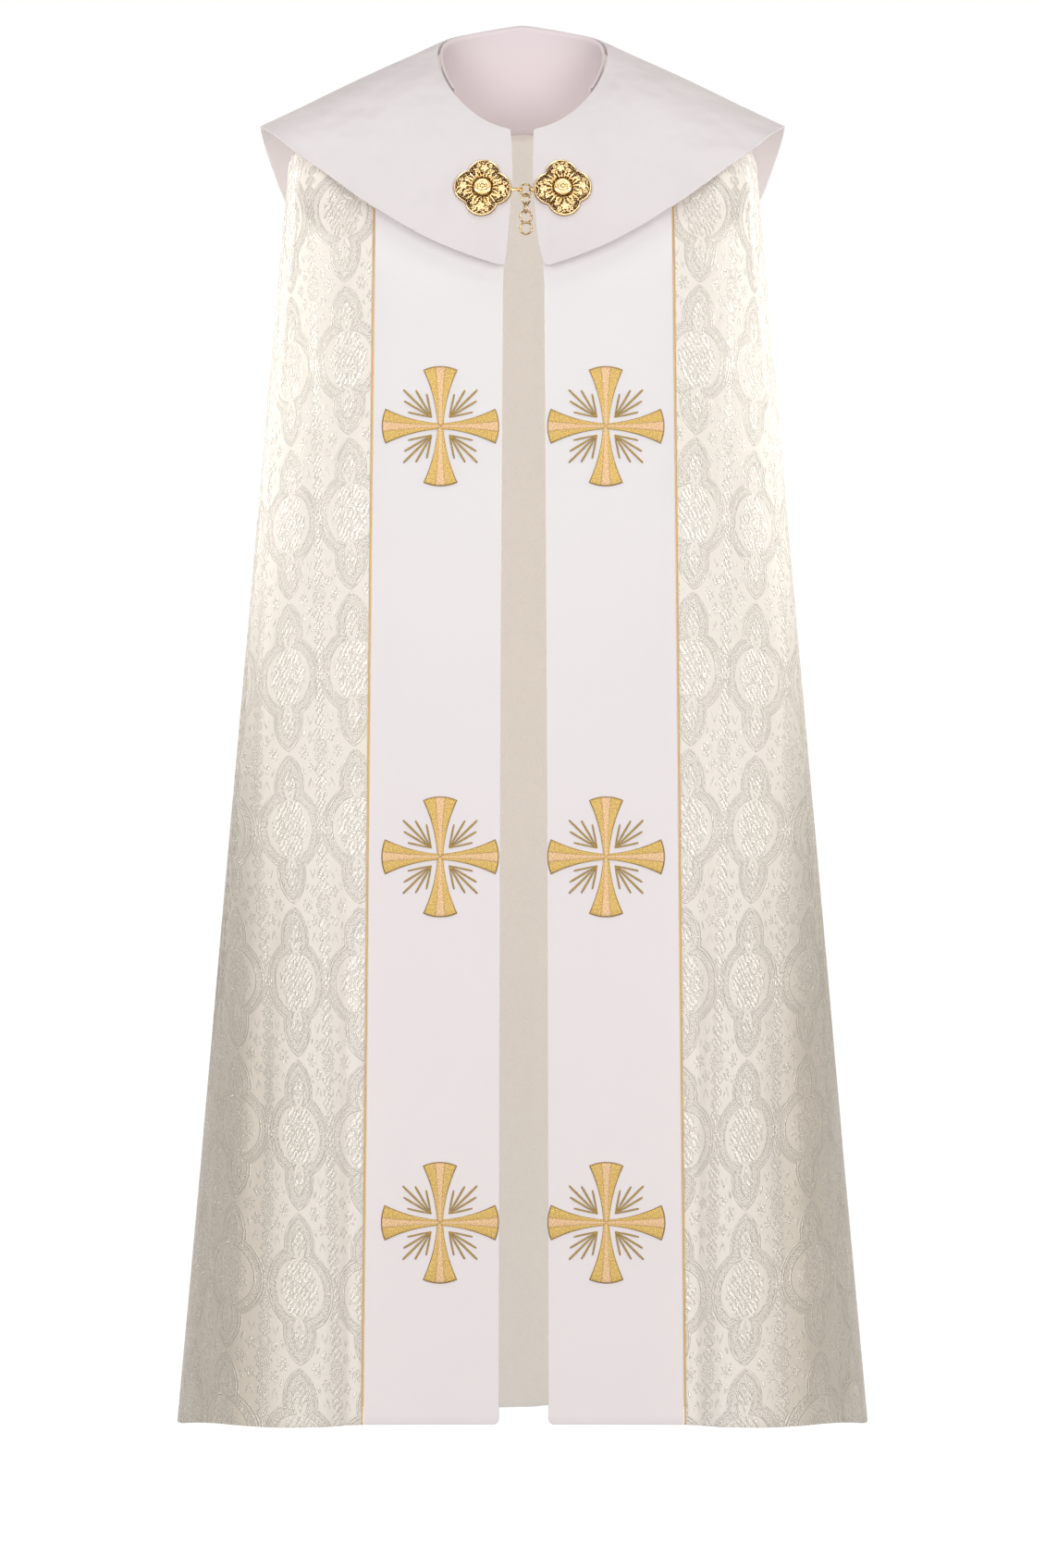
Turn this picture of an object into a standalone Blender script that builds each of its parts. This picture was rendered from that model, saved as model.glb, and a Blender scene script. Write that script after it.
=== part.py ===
"""Cope vestment: an open ceremonial cape, worn, with satin orphrey bands, a wide cape collar and a metal clasp.

Metres, +Z up, the front faces -Y, +X is the wearer's left. The origin is the centre of the neck opening.
Every cloth piece is an open surface, worked out from rings around the body, with a Solidify modifier.
"""

import math

import bmesh
import bpy
import numpy as np
from mathutils import Vector

# ---------------------------------------------------------------- sizes
CLOTH = 0.0020          # damask wall
BAND_CLOTH = 0.0024     # orphrey band wall
COLLAR_CLOTH = 0.0025   # stiffened collar wall
FACING_CLOTH = 0.0012
SEAM_GAP = 0.0007       # between two cloth pieces at a seam
PIPING_R = 0.0010       # gold piping between band and front
PIPING_GAP = 0.0015     # from the piping's centre line to each cloth edge
BAND_SHIFT = 0.0012     # both bands hang this far toward the wearer's left

# Neck line of the collar: x = NECK_X sin a, y from the two depths, height from the cosine terms; a = 0 in front.
NECK_X, NECK_FRONT, NECK_BACK = 0.0918, 0.100, 0.070
NECK_Z = (0.0032, -0.0674, -0.0138)
NECK_DIP = 0.0068        # the neck line runs lower beside the nape
COLLAR_FRONT_A, COLLAR_SHOULDER_A = 7.95, 105.0
SEAM_REACH, SEAM_SINK, SEAM_BACK = 0.60, 0.088, 0.150   # the part of the way down in which the seam spreads out, and its dip there
BODY_DROP = 0.0074      # the cloth's neck line lies this far under the collar's
BODY_FRONT_A, BODY_BAND_A, BODY_SIDE_A = 8.3, 55.0, 100.0

# Heights of the four plan outlines below the shoulder, at the front edge, the side and the centre back.
# rise = how late in the ring the front height passes into the side height.
HEIGHTS = [
    # name     front     side      back     rise
    ("top",  -0.2450, -0.1150, -0.1400, 1.3),
    ("mid",  -0.7000, -0.6700, -0.6900, 1.6),
    ("low",  -1.0000, -0.9900, -1.0050, 2.1),
    ("hem",  -1.4425, -1.4610, -1.4750, 3.2),
]
# Half plan of the front at each height, from the inner edge of the band round to the side (x, y).
FRONT_PLAN = {
    # station    top               mid               low               hem
    "inner":  [(0.0218, -0.1370), (0.0243, -0.1510), (0.0252, -0.1630), (0.0260, -0.1820)],
    "piping": [(0.1583, -0.1345), (0.1627, -0.1530), (0.1650, -0.1660), (0.1690, -0.1840)],
    "ridge":  [(0.1850, -0.1390), (0.1900, -0.1625), (0.1950, -0.1775), (0.2050, -0.2000)],
    "wall":   [(0.2070, -0.1380), (0.2200, -0.1670), (0.2250, -0.1810), (0.2320, -0.2060)],
    "foot":   [(0.2265, -0.1315), (0.2515, -0.1650), (0.2560, -0.1740), (0.2580, -0.2035)],
    "valley": [(0.2395, -0.1190), (0.2755, -0.1590), (0.2825, -0.1590), (0.2850, -0.1870)],
    "roll":   [(0.2475, -0.0930), (0.2900, -0.1400), (0.3050, -0.1310), (0.3150, -0.1530)],
    "corner": [(0.2510, -0.0520), (0.2964, -0.0880), (0.3210, -0.0890), (0.3470, -0.0950)],
    "side":   [(0.2525,  0.0000), (0.3013,  0.0000), (0.3303,  0.0000), (0.3733,  0.0000)],
}
BACK_DEPTH = [0.1020, 0.1850, 0.2150, 0.2500]     # centre back at each height
BACK_POWER = [2.05, 2.2, 2.3, 2.3]                 # roundness of the back outline
BACK_ANGLES = [16.0, 34.0, 52.0, 71.0]            # stations of the back outline on each side
# Soft flutes of the back: place along the back (0 = wearer's right side, 1 = left side), outward depth
# at the hem, half width, and the height below which each one opens.
BACK_FOLDS = [
    # at     depth   width   from
    (0.100, -0.014, 0.040, -0.45),
    (0.185,  0.020, 0.046, -0.30),
    (0.290, -0.022, 0.044, -0.35),
    (0.385,  0.017, 0.042, -0.55),
    (0.470, -0.012, 0.038, -0.40),
    (0.560,  0.019, 0.046, -0.50),
    (0.665, -0.024, 0.048, -0.32),
    (0.770,  0.021, 0.042, -0.42),
    (0.850, -0.010, 0.034, -0.60),
    (0.915,  0.008, 0.030, -0.70),
]
# Rim of the cape collar: angle round the rim (0 = front), height. The outline is RIM_X by RIM_FRONT / RIM_BACK.
RIM_X, RIM_FRONT, RIM_BACK, RIM_POWER = 0.2837, 0.1460, 0.1480, 2.25
RIM_FRONT_A = 3.9
RIM_FRONT_Z = [(3.9, -0.2275), (12.8, -0.2127), (21.1, -0.1953), (33.6, -0.1624), (49.7, -0.1180),
               (60.2, -0.0953), (68.0, -0.0800), (80.0, -0.0668), (90.0, -0.0618)]
RIM_BACK_Z = [(90.0, -0.0618), (97.0, -0.0745), (104.0, -0.0950), (112.5, -0.1300), (125.0, -0.1830),
              (140.0, -0.2430), (155.0, -0.2950), (168.0, -0.3270), (180.0, -0.3380)]
# Front edges of the collar between neck (0) and rim (1).
COLLAR_EDGE = [
    # t     right    left
    (0.00, -0.0127, 0.0117),
    (0.22, -0.0106, 0.0107),
    (0.42, -0.0102, 0.0108),
    (0.62, -0.0132, 0.0133),
    (0.85, -0.0163, 0.0172),
    (1.00, -0.0190, 0.0236),
]
COLLAR_BULGE = 0.0036
COLLAR_BLADE = 0.0085     # extra rounding over the shoulder blades
COLLAR_CHEST = 0.0022     # and over the front of the shoulders

# Crosses on the bands.
CROSS_Z = [("top", -0.3955), ("middle", -0.8490), ("low", -1.2320)]
CROSS_ARM, CROSS_END, CROSS_ARC, CROSS_WAIST = 0.0635, 0.0185, 0.0040, 0.0032
CROSS_LIFT, CROSS_THICK = 0.0004, 0.0010

# Clasp.
PLATE_W, PLATE_H, PLATE_T = 0.0612, 0.0650, 0.0022
PLATE_AT = {"right": (-0.0413, -0.1434), "left": (0.0434, -0.1430)}   # x, z
PLATE_TURN = {"right": -5.5, "left": 6.0}                    # turn of each plate in its own plane, degrees
RING_Y = -0.1262
RING_R, RING_WIRE = 0.0062, 0.00105
RING_AT = (0.0036, -0.1450)
LINK_R, LINK_WIRE = 0.0056, 0.00090
LINK_TURN = (43.0, -72.0)       # how far the two small links are turned about the vertical
EIGHT_R, EIGHT_WIRE = 0.0062, 0.00100


# ---------------------------------------------------------------- helpers
def clean_scene():
    for ob in list(bpy.data.objects):
        bpy.data.objects.remove(ob, do_unlink=True)


def smooth(t):
    t = min(max(t, 0.0), 1.0)
    return t * t * (3.0 - 2.0 * t)


def through(knots, values, x):
    """Smooth curve through (knots, values): Catmull-Rom with uneven knots, straight beyond the ends."""
    knots = [float(k) for k in knots]
    if knots[0] > knots[-1]:
        knots, values = knots[::-1], list(values)[::-1]
    v = np.asarray(values, dtype=float)
    n = len(knots)
    slopes = []
    for i in range(n):
        if i == 0:
            slopes.append((v[1] - v[0]) / (knots[1] - knots[0]))
        elif i == n - 1:
            slopes.append((v[-1] - v[-2]) / (knots[-1] - knots[-2]))
        else:
            a, b = knots[i] - knots[i - 1], knots[i + 1] - knots[i]
            da, db = (v[i] - v[i - 1]) / a, (v[i + 1] - v[i]) / b
            slopes.append((da * b + db * a) / (a + b))
    i = 0
    while i < n - 2 and x > knots[i + 1]:
        i += 1
    h = knots[i + 1] - knots[i]
    t = (x - knots[i]) / h
    if t < 0.0:
        return v[0] + slopes[0] * (x - knots[0])
    if t > 1.0:
        return v[-1] + slopes[-1] * (x - knots[-1])
    return ((2 * t**3 - 3 * t**2 + 1) * v[i] + (t**3 - 2 * t**2 + t) * h * slopes[i]
            + (-2 * t**3 + 3 * t**2) * v[i + 1] + (t**3 - t**2) * h * slopes[i + 1])


def under(a_deg):
    """How much smaller the body's neck line is than the collar's, where the collar stands steep."""
    return 0.001 - 0.0055 * math.cos(math.radians(a_deg)) ** 2


def neck_point(a_deg, grow=0.0, drop=0.0):
    a = math.radians(a_deg)
    c, s = math.cos(a), math.sin(a)
    depth = NECK_FRONT if c > 0 else NECK_BACK
    z = NECK_Z[0] + NECK_Z[1] * c + NECK_Z[2] * math.cos(2 * a)
    if c < 0:
        z -= NECK_DIP * abs(math.sin(2 * a)) ** 1.3
    return np.array([(NECK_X + grow) * s, -(depth + grow) * c, z - drop])


def catmull_curve(points, per_span=12):
    """Dense centripetal curve through plan points."""
    p = [np.array(q, dtype=float) for q in points]
    p = [2 * p[0] - p[1]] + p + [2 * p[-1] - p[-2]]
    out, marks = [], []
    for i in range(1, len(p) - 2):
        p0, p1, p2, p3 = p[i - 1:i + 3]
        t0 = 0.0
        t1 = t0 + np.linalg.norm(p1 - p0) ** 0.5
        t2 = t1 + np.linalg.norm(p2 - p1) ** 0.5
        t3 = t2 + np.linalg.norm(p3 - p2) ** 0.5
        marks.append(len(out))
        for k in range(per_span):
            t = t1 + (t2 - t1) * k / per_span
            a1 = (t1 - t) / (t1 - t0) * p0 + (t - t0) / (t1 - t0) * p1
            a2 = (t2 - t) / (t2 - t1) * p1 + (t - t1) / (t2 - t1) * p2
            a3 = (t3 - t) / (t3 - t2) * p2 + (t - t2) / (t3 - t2) * p3
            b1 = (t2 - t) / (t2 - t0) * a1 + (t - t0) / (t2 - t0) * a2
            b2 = (t3 - t) / (t3 - t1) * a2 + (t - t1) / (t3 - t1) * a3
            out.append((t2 - t) / (t2 - t1) * b1 + (t - t1) / (t2 - t1) * b2)
    marks.append(len(out))
    out.append(p[-2])
    return np.array(out), marks


def resample(line, fractions):
    seg = np.linalg.norm(np.diff(line, axis=0), axis=1)
    s = np.concatenate([[0.0], np.cumsum(seg)])
    want = np.asarray(fractions) * s[-1]
    return np.column_stack([np.interp(want, s, line[:, k]) for k in range(line.shape[1])])


SECTIONS = ("band_r", "front_r", "back", "front_l", "band_l")


def plan_outline(h):
    """Whole plan outline at height number h (0 top .. 3 hem, fractions allowed), split into its sections."""
    knots = [row[2] for row in HEIGHTS]                       # side heights
    z_side = through([0, 1, 2, 3], knots, h)
    order = list(FRONT_PLAN)
    front = [np.array(through(knots, FRONT_PLAN[name], z_side)) for name in order]
    depth = float(through(knots, [[d] for d in BACK_DEPTH], z_side)[0])
    power = float(through(knots, [[d] for d in BACK_POWER], z_side)[0])
    side_x = front[-1][0]
    back = []
    for deg in BACK_ANGLES:
        t = math.radians(deg)
        back.append(np.array([side_x * math.cos(t) ** (2 / power), depth * math.sin(t) ** (2 / power)]))
    half = front + back
    right = [np.array([-p[0], p[1]]) for p in half]
    pts = right + [np.array([0.0, depth])] + half[::-1]
    line, marks = catmull_curve(pts[1:-1])
    n = len(order)
    side_r, side_l = marks[n - 2], marks[len(pts) - 2 - (n - 1)]
    inner_r = np.array([right[0], right[1]])
    inner_l = np.array([half[1], half[0]])
    parts = {
        "band_r": inner_r, "front_r": line[:side_r + 1], "back": line[side_r:side_l + 1],
        "front_l": line[side_l:], "band_l": inner_l,
    }
    # the bands' own shift toward the wearer's left fades out over the fronts
    for name in ("band_r", "band_l"):
        parts[name] = parts[name] + np.array([BAND_SHIFT, 0.0])
    for name, flip in (("front_r", False), ("front_l", True)):
        line2 = parts[name].copy()
        w = np.linspace(1, 0, len(line2)) ** 2
        if flip:
            w = w[::-1]
        line2[:, 0] += BAND_SHIFT * w
        parts[name] = line2
    return parts


def fold_out(parts, z_of):
    """Moves the back outline along its own normal by the flutes."""
    line = parts["back"]
    tan = np.gradient(line, axis=0)
    tan /= np.linalg.norm(tan, axis=1)[:, None]
    nrm = np.column_stack([-tan[:, 1], tan[:, 0]])            # outward
    seg = np.concatenate([[0.0], np.cumsum(np.linalg.norm(np.diff(line, axis=0), axis=1))])
    f = seg / seg[-1]
    move = np.zeros(len(f))
    hem = HEIGHTS[-1][3]
    for at, depth, width, start in BACK_FOLDS:
        grow = min(max((z_of - start) / (hem - start), 0.0), 1.0) ** 1.15
        move += depth * grow * np.exp(-((f - at) / width) ** 2)
    move *= np.clip(np.minimum(f, 1 - f) / 0.06, 0, 1)
    parts["back"] = line + nrm * move[:, None]
    return parts


def ring(w, fractions):
    """Ring of the cloth: w = 0 at the neck, 1 at the top outline, 4 at the hem. fractions: per section, arc places."""
    h = max(w - 1.0, 0.0)
    knots = [0, 1, 2, 3]
    zf = float(through(knots, [[r[1]] for r in HEIGHTS], h)[0])
    zs = float(through(knots, [[r[2]] for r in HEIGHTS], h)[0])
    zb = float(through(knots, [[r[3]] for r in HEIGHTS], h)[0])
    rise = float(through(knots, [[r[4]] for r in HEIGHTS], h)[0])
    parts = plan_outline(h)
    parts = fold_out(parts, zb)
    out = {}
    lens = {}
    for name in SECTIONS:
        seg = np.linalg.norm(np.diff(parts[name], axis=0), axis=1)
        lens[name] = seg.sum()
    for name in SECTIONS:
        fr = np.asarray(fractions[name], dtype=float)
        xy = resample(parts[name], fr)
        side = "r" if name.endswith("_r") else "l"
        if name == "back":
            f = fr
            z = zs + (zb - zs) * np.sin(np.pi * f) ** 2
            a = BODY_SIDE_A + (180 - BODY_SIDE_A) * 2 * f     # 100 .. 260
        else:
            total = lens["band_" + side] + lens["front_" + side]
            if name == "band_r":
                f = fr * lens[name] / total
                a = BODY_FRONT_A + (BODY_BAND_A - BODY_FRONT_A) * fr
            elif name == "front_r":
                f = (lens["band_r"] + fr * lens[name]) / total
                a = BODY_BAND_A + (BODY_SIDE_A - BODY_BAND_A) * fr
            elif name == "front_l":
                f = (lens["band_l"] + (1 - fr) * lens[name]) / total
                a = BODY_BAND_A + (BODY_SIDE_A - BODY_BAND_A) * (1 - fr)
            else:
                f = (1 - fr) * lens[name] / total
                a = BODY_FRONT_A + (BODY_BAND_A - BODY_FRONT_A) * (1 - fr)
            z = zf + (zs - zf) * np.sin(np.pi / 2 * f ** rise) ** 2
        pts = np.column_stack([xy, z])
        if w < 1.0:                                           # over the shoulder, from the neck line
            for i in range(len(pts)):
                ang = a[i]
                if name == "back":
                    n = neck_point(ang, under(ang), BODY_DROP) * np.array([-1, 1, 1])
                    beta = abs(ang - 180) / 80.0              # 0 at centre back, 1 at the side
                    side_w = smooth(beta) ** 1.6
                else:
                    n = neck_point(ang, under(ang), BODY_DROP) * np.array([-1 if side == "r" else 1, 1, 1])
                    side_w = smooth((ang - BODY_FRONT_A) / (BODY_SIDE_A - BODY_FRONT_A))
                phi = w * math.pi / 2
                hs, vs = math.sin(phi), 0.35 * math.sin(phi) + 0.65 * (1 - math.cos(phi))
                hh = w + (hs - w) * side_w
                vv = w + (vs - w) * side_w
                hh += 0.02 * math.sin(math.pi * w) * (1 - side_w)
                hx = hy = hh
                if name != "back":                            # the piped seam gains its width high on the chest
                    if ang <= BODY_BAND_A:
                        near = (ang - BODY_FRONT_A) / (BODY_BAND_A - BODY_FRONT_A)
                    else:
                        near = 1.0 - smooth((ang - BODY_BAND_A) / 25.0)
                    hx = hh + near * (smooth(hh / SEAM_REACH) - hh)
                    dip = math.exp(-((ang - 66.0) / 14.0) ** 2)
                    hy = hh - SEAM_BACK * dip * math.sin(math.pi * w ** 2.1)
                    vv += SEAM_SINK * dip * math.sin(math.pi * min(w / 0.80, 1.0))
                p = pts[i].copy()
                pts[i, 0] = n[0] + (p[0] - n[0]) * hx
                pts[i, 1] = n[1] + (p[1] - n[1]) * hy
                pts[i, 2] = n[2] + (p[2] - n[2]) * vv
        out[name] = pts
    return out


def section_grid(name, rows, fractions):
    every = {s: fractions if s == name else [0.0, 1.0] for s in SECTIONS}
    return [ring(w, every)[name] for w in rows]


def inset(grid, start, end):
    """Moves the first and last point of each row inward along the row by the given lengths."""
    out = []
    for row in grid:
        row = np.array(row)
        if start:
            d = row[1] - row[0]
            row[0] = row[0] + d / np.linalg.norm(d) * start
        if end:
            d = row[-2] - row[-1]
            row[-1] = row[-1] + d / np.linalg.norm(d) * end
        out.append(row)
    return out


def material(name, rgb, rough, metal=0.0, sheen=0.0):
    mat = bpy.data.materials.new(name)
    mat.use_nodes = True
    b = mat.node_tree.nodes["Principled BSDF"]
    b.inputs["Base Color"].default_value = (*rgb, 1.0)
    b.inputs["Roughness"].default_value = rough
    b.inputs["Metallic"].default_value = metal
    b.inputs["Sheen Weight"].default_value = sheen
    return mat


def add_mesh(name, bm, mat, smooth_shade=True):
    me = bpy.data.meshes.new(name)
    bm.to_mesh(me)
    bm.free()
    ob = bpy.data.objects.new(name, me)
    COPE.objects.link(ob)
    me.materials.append(mat)
    if smooth_shade:
        me.shade_smooth()
    return ob


def cloth(name, grid, thick, mat):
    """Open grid surface, outer face out, given its wall by Solidify."""
    bm = bmesh.new()
    vs = [[bm.verts.new(p) for p in row] for row in grid]
    for i in range(len(grid) - 1):
        for j in range(len(grid[i]) - 1):
            bm.faces.new((vs[i][j], vs[i][j + 1], vs[i + 1][j + 1], vs[i + 1][j]))
    ob = add_mesh(name, bm, mat)
    mod = ob.modifiers.new("wall", "SOLIDIFY")
    mod.thickness = thick
    mod.offset = -1.0
    mod.use_even_offset = True
    return ob


def frange(a, b, n):
    return [a + (b - a) * i / (n - 1) for i in range(n)]


# ---------------------------------------------------------------- cloth
clean_scene()
COPE = bpy.data.collections.new("cope_vestment")
bpy.context.scene.collection.children.link(COPE)

DAMASK = dict(rgb=(0.80, 0.775, 0.73), rough=0.45, sheen=0.3)
SATIN = dict(rgb=(0.84, 0.80, 0.81), rough=0.42, sheen=0.25)
GOLD = dict(rgb=(0.83, 0.60, 0.26), rough=0.28, metal=1.0)

ROWS = [0.0, 0.10, 0.22, 0.36, 0.52, 0.70, 0.86, 1.0, 1.10, 1.22, 1.38, 1.58, 1.80, 2.0,
        2.25, 2.50, 2.75, 3.0, 3.2, 3.4, 3.6, 3.8, 4.0]
BAND_COLS = [0.0, 0.04, 0.36, 0.68, 1.0]
FRONT_COLS = frange(0.0, 1.0, 16)
BACK_COLS = frange(0.0, 1.0, 41)

band = section_grid("band_r", ROWS, BAND_COLS)
band_l = section_grid("band_l", ROWS, [1 - f for f in BAND_COLS[::-1]])
# rounded lower inner corners
band[-1][0][2] += 0.0045
band_l[-1][-1][2] += 0.0045
cloth("orphrey_right", inset(band, 0, PIPING_GAP), BAND_CLOTH, material("satin_band_right", **SATIN))
cloth("orphrey_left", inset(band_l, PIPING_GAP, 0), BAND_CLOTH, material("satin_band_left", **SATIN))

front_r = section_grid("front_r", ROWS, FRONT_COLS)
front_l = section_grid("front_l", ROWS, FRONT_COLS)
back = section_grid("back", ROWS, BACK_COLS)
cloth("front_right", inset(front_r, PIPING_GAP, SEAM_GAP / 2), CLOTH, material("damask_front_right", **DAMASK))
cloth("front_left", inset(front_l, SEAM_GAP / 2, PIPING_GAP), CLOTH, material("damask_front_left", **DAMASK))
cloth("back", inset(back, SEAM_GAP / 2, SEAM_GAP / 2), CLOTH, material("damask_back", **DAMASK))


def piping(name, grid, index):
    """Cord along the seam between band and front, its centre half a wall deep."""
    cu = bpy.data.curves.new(name, "CURVE")
    cu.dimensions = "3D"
    cu.bevel_depth = PIPING_R
    cu.bevel_resolution = 1
    cu.use_fill_caps = True
    pts = []
    for i, row in enumerate(grid):
        p, q = Vector(row[index]), Vector(row[index + (1 if index == 0 else -1)])
        up = Vector(grid[min(i + 1, len(grid) - 1)][index]) - Vector(grid[max(i - 1, 0)][index])
        n = (q - p).cross(up).normalized()
        if n.dot(Vector((p.x * 0.3, -1.0, 0.3))) < 0:
            n = -n
        pts.append(p - n * (PIPING_R - 0.0004))
    sp = cu.splines.new("POLY")
    sp.points.add(len(pts) - 1)
    for i, p in enumerate(pts):
        sp.points[i].co = (*p, 1.0)
    ob = bpy.data.objects.new(name, cu)
    COPE.objects.link(ob)
    cu.materials.append(material("gold_" + name, (0.70, 0.43, 0.14), 0.45, 0.5))
    return ob


piping("piping_right", front_r, 0)
piping("piping_left", front_l, -1)


# ---------------------------------------------------------------- collar
def rim_point(b_deg):
    b = math.radians(b_deg)
    s, c = abs(math.sin(b)), math.cos(b)
    e = 2.0 / RIM_POWER
    depth = RIM_FRONT if c > 0 else RIM_BACK
    x = RIM_X * s
    y = -depth * math.copysign(max(1.0 - s ** RIM_POWER, 0.0) ** (1.0 / RIM_POWER), c)
    table = RIM_FRONT_Z if b_deg <= 90.0 else RIM_BACK_Z
    z = float(through([r[0] for r in table], [[r[1]] for r in table], b_deg)[0])
    return np.array([x, y, z])


def collar_point(u, t):
    """u from -1 (wearer's right front edge) through 0 (centre back) to 1 (left front edge); t neck to rim."""
    side = -1.0 if u < 0 else 1.0
    v = abs(u)
    if v >= 0.5:                                              # front half, 1 at the front edge
        k = (1.0 - v) / 0.5
        a = COLLAR_FRONT_A + (COLLAR_SHOULDER_A - COLLAR_FRONT_A) * k
        b = RIM_FRONT_A + (90.0 - RIM_FRONT_A) * k
    else:
        k = v / 0.5
        a = 180.0 - (180.0 - COLLAR_SHOULDER_A) * k
        b = 180.0 - 90.0 * k
    n, r = neck_point(a), rim_point(b)
    p = n + (r - n) * t
    chord = r - n
    out = np.array([-chord[2] * n[0] / max(np.linalg.norm(n[:2]), 1e-6),
                    -chord[2] * n[1] / max(np.linalg.norm(n[:2]), 1e-6), np.linalg.norm(chord[:2])])
    out /= np.linalg.norm(out)
    blade = math.exp(-((v - 0.33) / 0.13) ** 2) if v < 0.5 else math.exp(-((v - 0.33) / 0.09) ** 2)
    chest = math.exp(-((v - 0.71) / 0.10) ** 2)
    flat = 1.0 - 0.7 * math.exp(-((v - 0.5) / 0.07) ** 2)       # drawn straight along the shoulder
    p = p + out * (COLLAR_BULGE * flat + COLLAR_BLADE * blade + COLLAR_CHEST * chest) * math.sin(math.pi * t ** 0.75)
    p[0] *= side
    edge = through([row[0] for row in COLLAR_EDGE], [[row[1], row[2]] for row in COLLAR_EDGE], t)
    want = edge[0] if side < 0 else edge[1]
    have = (neck_point(COLLAR_FRONT_A)[0] * (1 - t) + rim_point(RIM_FRONT_A)[0] * t) * side
    near = smooth(1.0 - (1.0 - v) / 0.16)
    p[0] += (want - have) * near
    return p


COLLAR_COLS = [-1, -0.99, -0.96, -0.92, -0.87, -0.82, -0.77, -0.72, -0.67, -0.62, -0.57, -0.53, -0.5, -0.47,
               -0.43, -0.38, -0.32, -0.26, -0.20, -0.13, -0.07, 0.0]
COLLAR_COLS = COLLAR_COLS + [-c for c in COLLAR_COLS[-2::-1]]
COLLAR_ROWS = [0.0, 0.16, 0.34, 0.52, 0.70, 0.86, 0.965, 1.0]
grid = [[collar_point(u, t) for u in COLLAR_COLS] for t in COLLAR_ROWS]
for row_end in (0, -1):                                       # rounded lower front corners
    grid[-1][row_end] = grid[-1][row_end] * 0.55 + grid[-2][row_end] * 0.45
    grid[0][row_end] = grid[0][row_end] * 0.8 + grid[1][row_end] * 0.2
cloth("collar", grid, COLLAR_CLOTH, material("satin_collar", **SATIN))

# ---------------------------------------------------------------- neck facing, inside the back neck
FACING_A = (58.0, 302.0)
FACING_DEPTH = 0.118
rows = []
for t in (0.0, 0.25, 0.5, 0.75, 1.0):
    row = []
    for a in frange(FACING_A[0], FACING_A[1], 29):
        side = 1.0
        aa = a
        if a > 180:
            aa, side = 360 - a, -1.0
        n = neck_point(aa)
        shrink = 0.0050 + 0.0032 * math.cos(math.radians(aa)) ** 2
        rad = np.array([n[0] / NECK_X ** 2, n[1] / NECK_FRONT ** 2, 0.0])
        rad /= np.linalg.norm(rad)
        fade = smooth((aa - 50.0) / 70.0)
        depth = 0.020 + (FACING_DEPTH - 0.020) * fade
        p = n - rad * shrink + np.array([0, 0, -0.0010 - depth * t])
        p += rad * (0.010 * t * fade)
        p[0] *= -side
        row.append(p)
    rows.append(row)
cloth("neck_facing", rows, FACING_CLOTH, material("satin_facing", (0.80, 0.72, 0.74), 0.5))


# ---------------------------------------------------------------- embroidered crosses
def cross_outline():
    """Half-arm profile repeated four times: waist, flaring sides, curved end."""
    arm = []
    steps = 7
    for i in range(steps + 1):                                # one flaring side, from the waist out
        t = i / steps
        along = CROSS_WAIST + (CROSS_ARM - CROSS_ARC - CROSS_WAIST) * t
        half = CROSS_WAIST + (CROSS_END - CROSS_WAIST) * (0.30 * t + 0.70 * t ** 2.1)
        arm.append((along, half))
    end = []
    for i in range(1, 6):
        a = -1.0 + 2.0 * i / 6
        end.append((CROSS_ARM - CROSS_ARC * a * a, -CROSS_END * a))
    one = arm + end + [(x, -y) for x, y in arm[::-1]]
    out = []
    for k in range(4):
        c, s = math.cos(-math.pi / 2 * k), math.sin(-math.pi / 2 * k)
        for x, y in one[:-1]:
            out.append((x * c - y * s, x * s + y * c))
    return out


def band_point(side, x, z):
    """Point of the band's outer face at x across and height z, by search along w."""
    lo, hi = 1.0, 4.0
    for _ in range(40):
        mid = (lo + hi) / 2
        p = ring(mid, {s: [0.0, 1.0] for s in SECTIONS})
        row = p["band_r"] if side == "right" else p["band_l"]
        f = (x - row[0][0]) / (row[1][0] - row[0][0])
        zz = row[0][2] + (row[1][2] - row[0][2]) * f
        if zz > z:
            lo = mid
        else:
            hi = mid
    q = row[0] + (row[1] - row[0]) * f
    return np.array([x, q[1], z])


for side, sign, cx in (("right", -1, -0.0865), ("left", 1, 0.0878)):
    for label, cz in CROSS_Z:
        c0 = band_point(side, cx, cz)
        up = band_point(side, cx, cz + 0.06) - band_point(side, cx, cz - 0.06)
        across = band_point(side, cx + 0.05, cz) - band_point(side, cx - 0.05, cz)
        across /= np.linalg.norm(across)
        up -= across * up.dot(across)
        up /= np.linalg.norm(up)
        nrm = np.cross(across, up)
        nrm *= -1 if nrm[1] > 0 else 1
        bm = bmesh.new()
        base = c0 + nrm * (CROSS_LIFT + CROSS_THICK)
        ring_v = [bm.verts.new(base + across * x + up * y) for x, y in cross_outline()]
        bm.faces.new(ring_v)
        bmesh.ops.recalc_face_normals(bm, faces=bm.faces)
        bm.normal_update()
        for f in bm.faces:
            if f.normal.y > 0:
                f.normal_flip()
        bmesh.ops.triangulate(bm, faces=bm.faces[:])
        ob = add_mesh(f"cross_{side}_{label}", bm, material(f"gold_thread_{side}_{label}", (0.76, 0.53, 0.22), 0.5), False)
        mod = ob.modifiers.new("plate", "SOLIDIFY")
        mod.thickness = CROSS_THICK
        mod.offset = -1.0
        mod.use_even_offset = True


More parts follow.
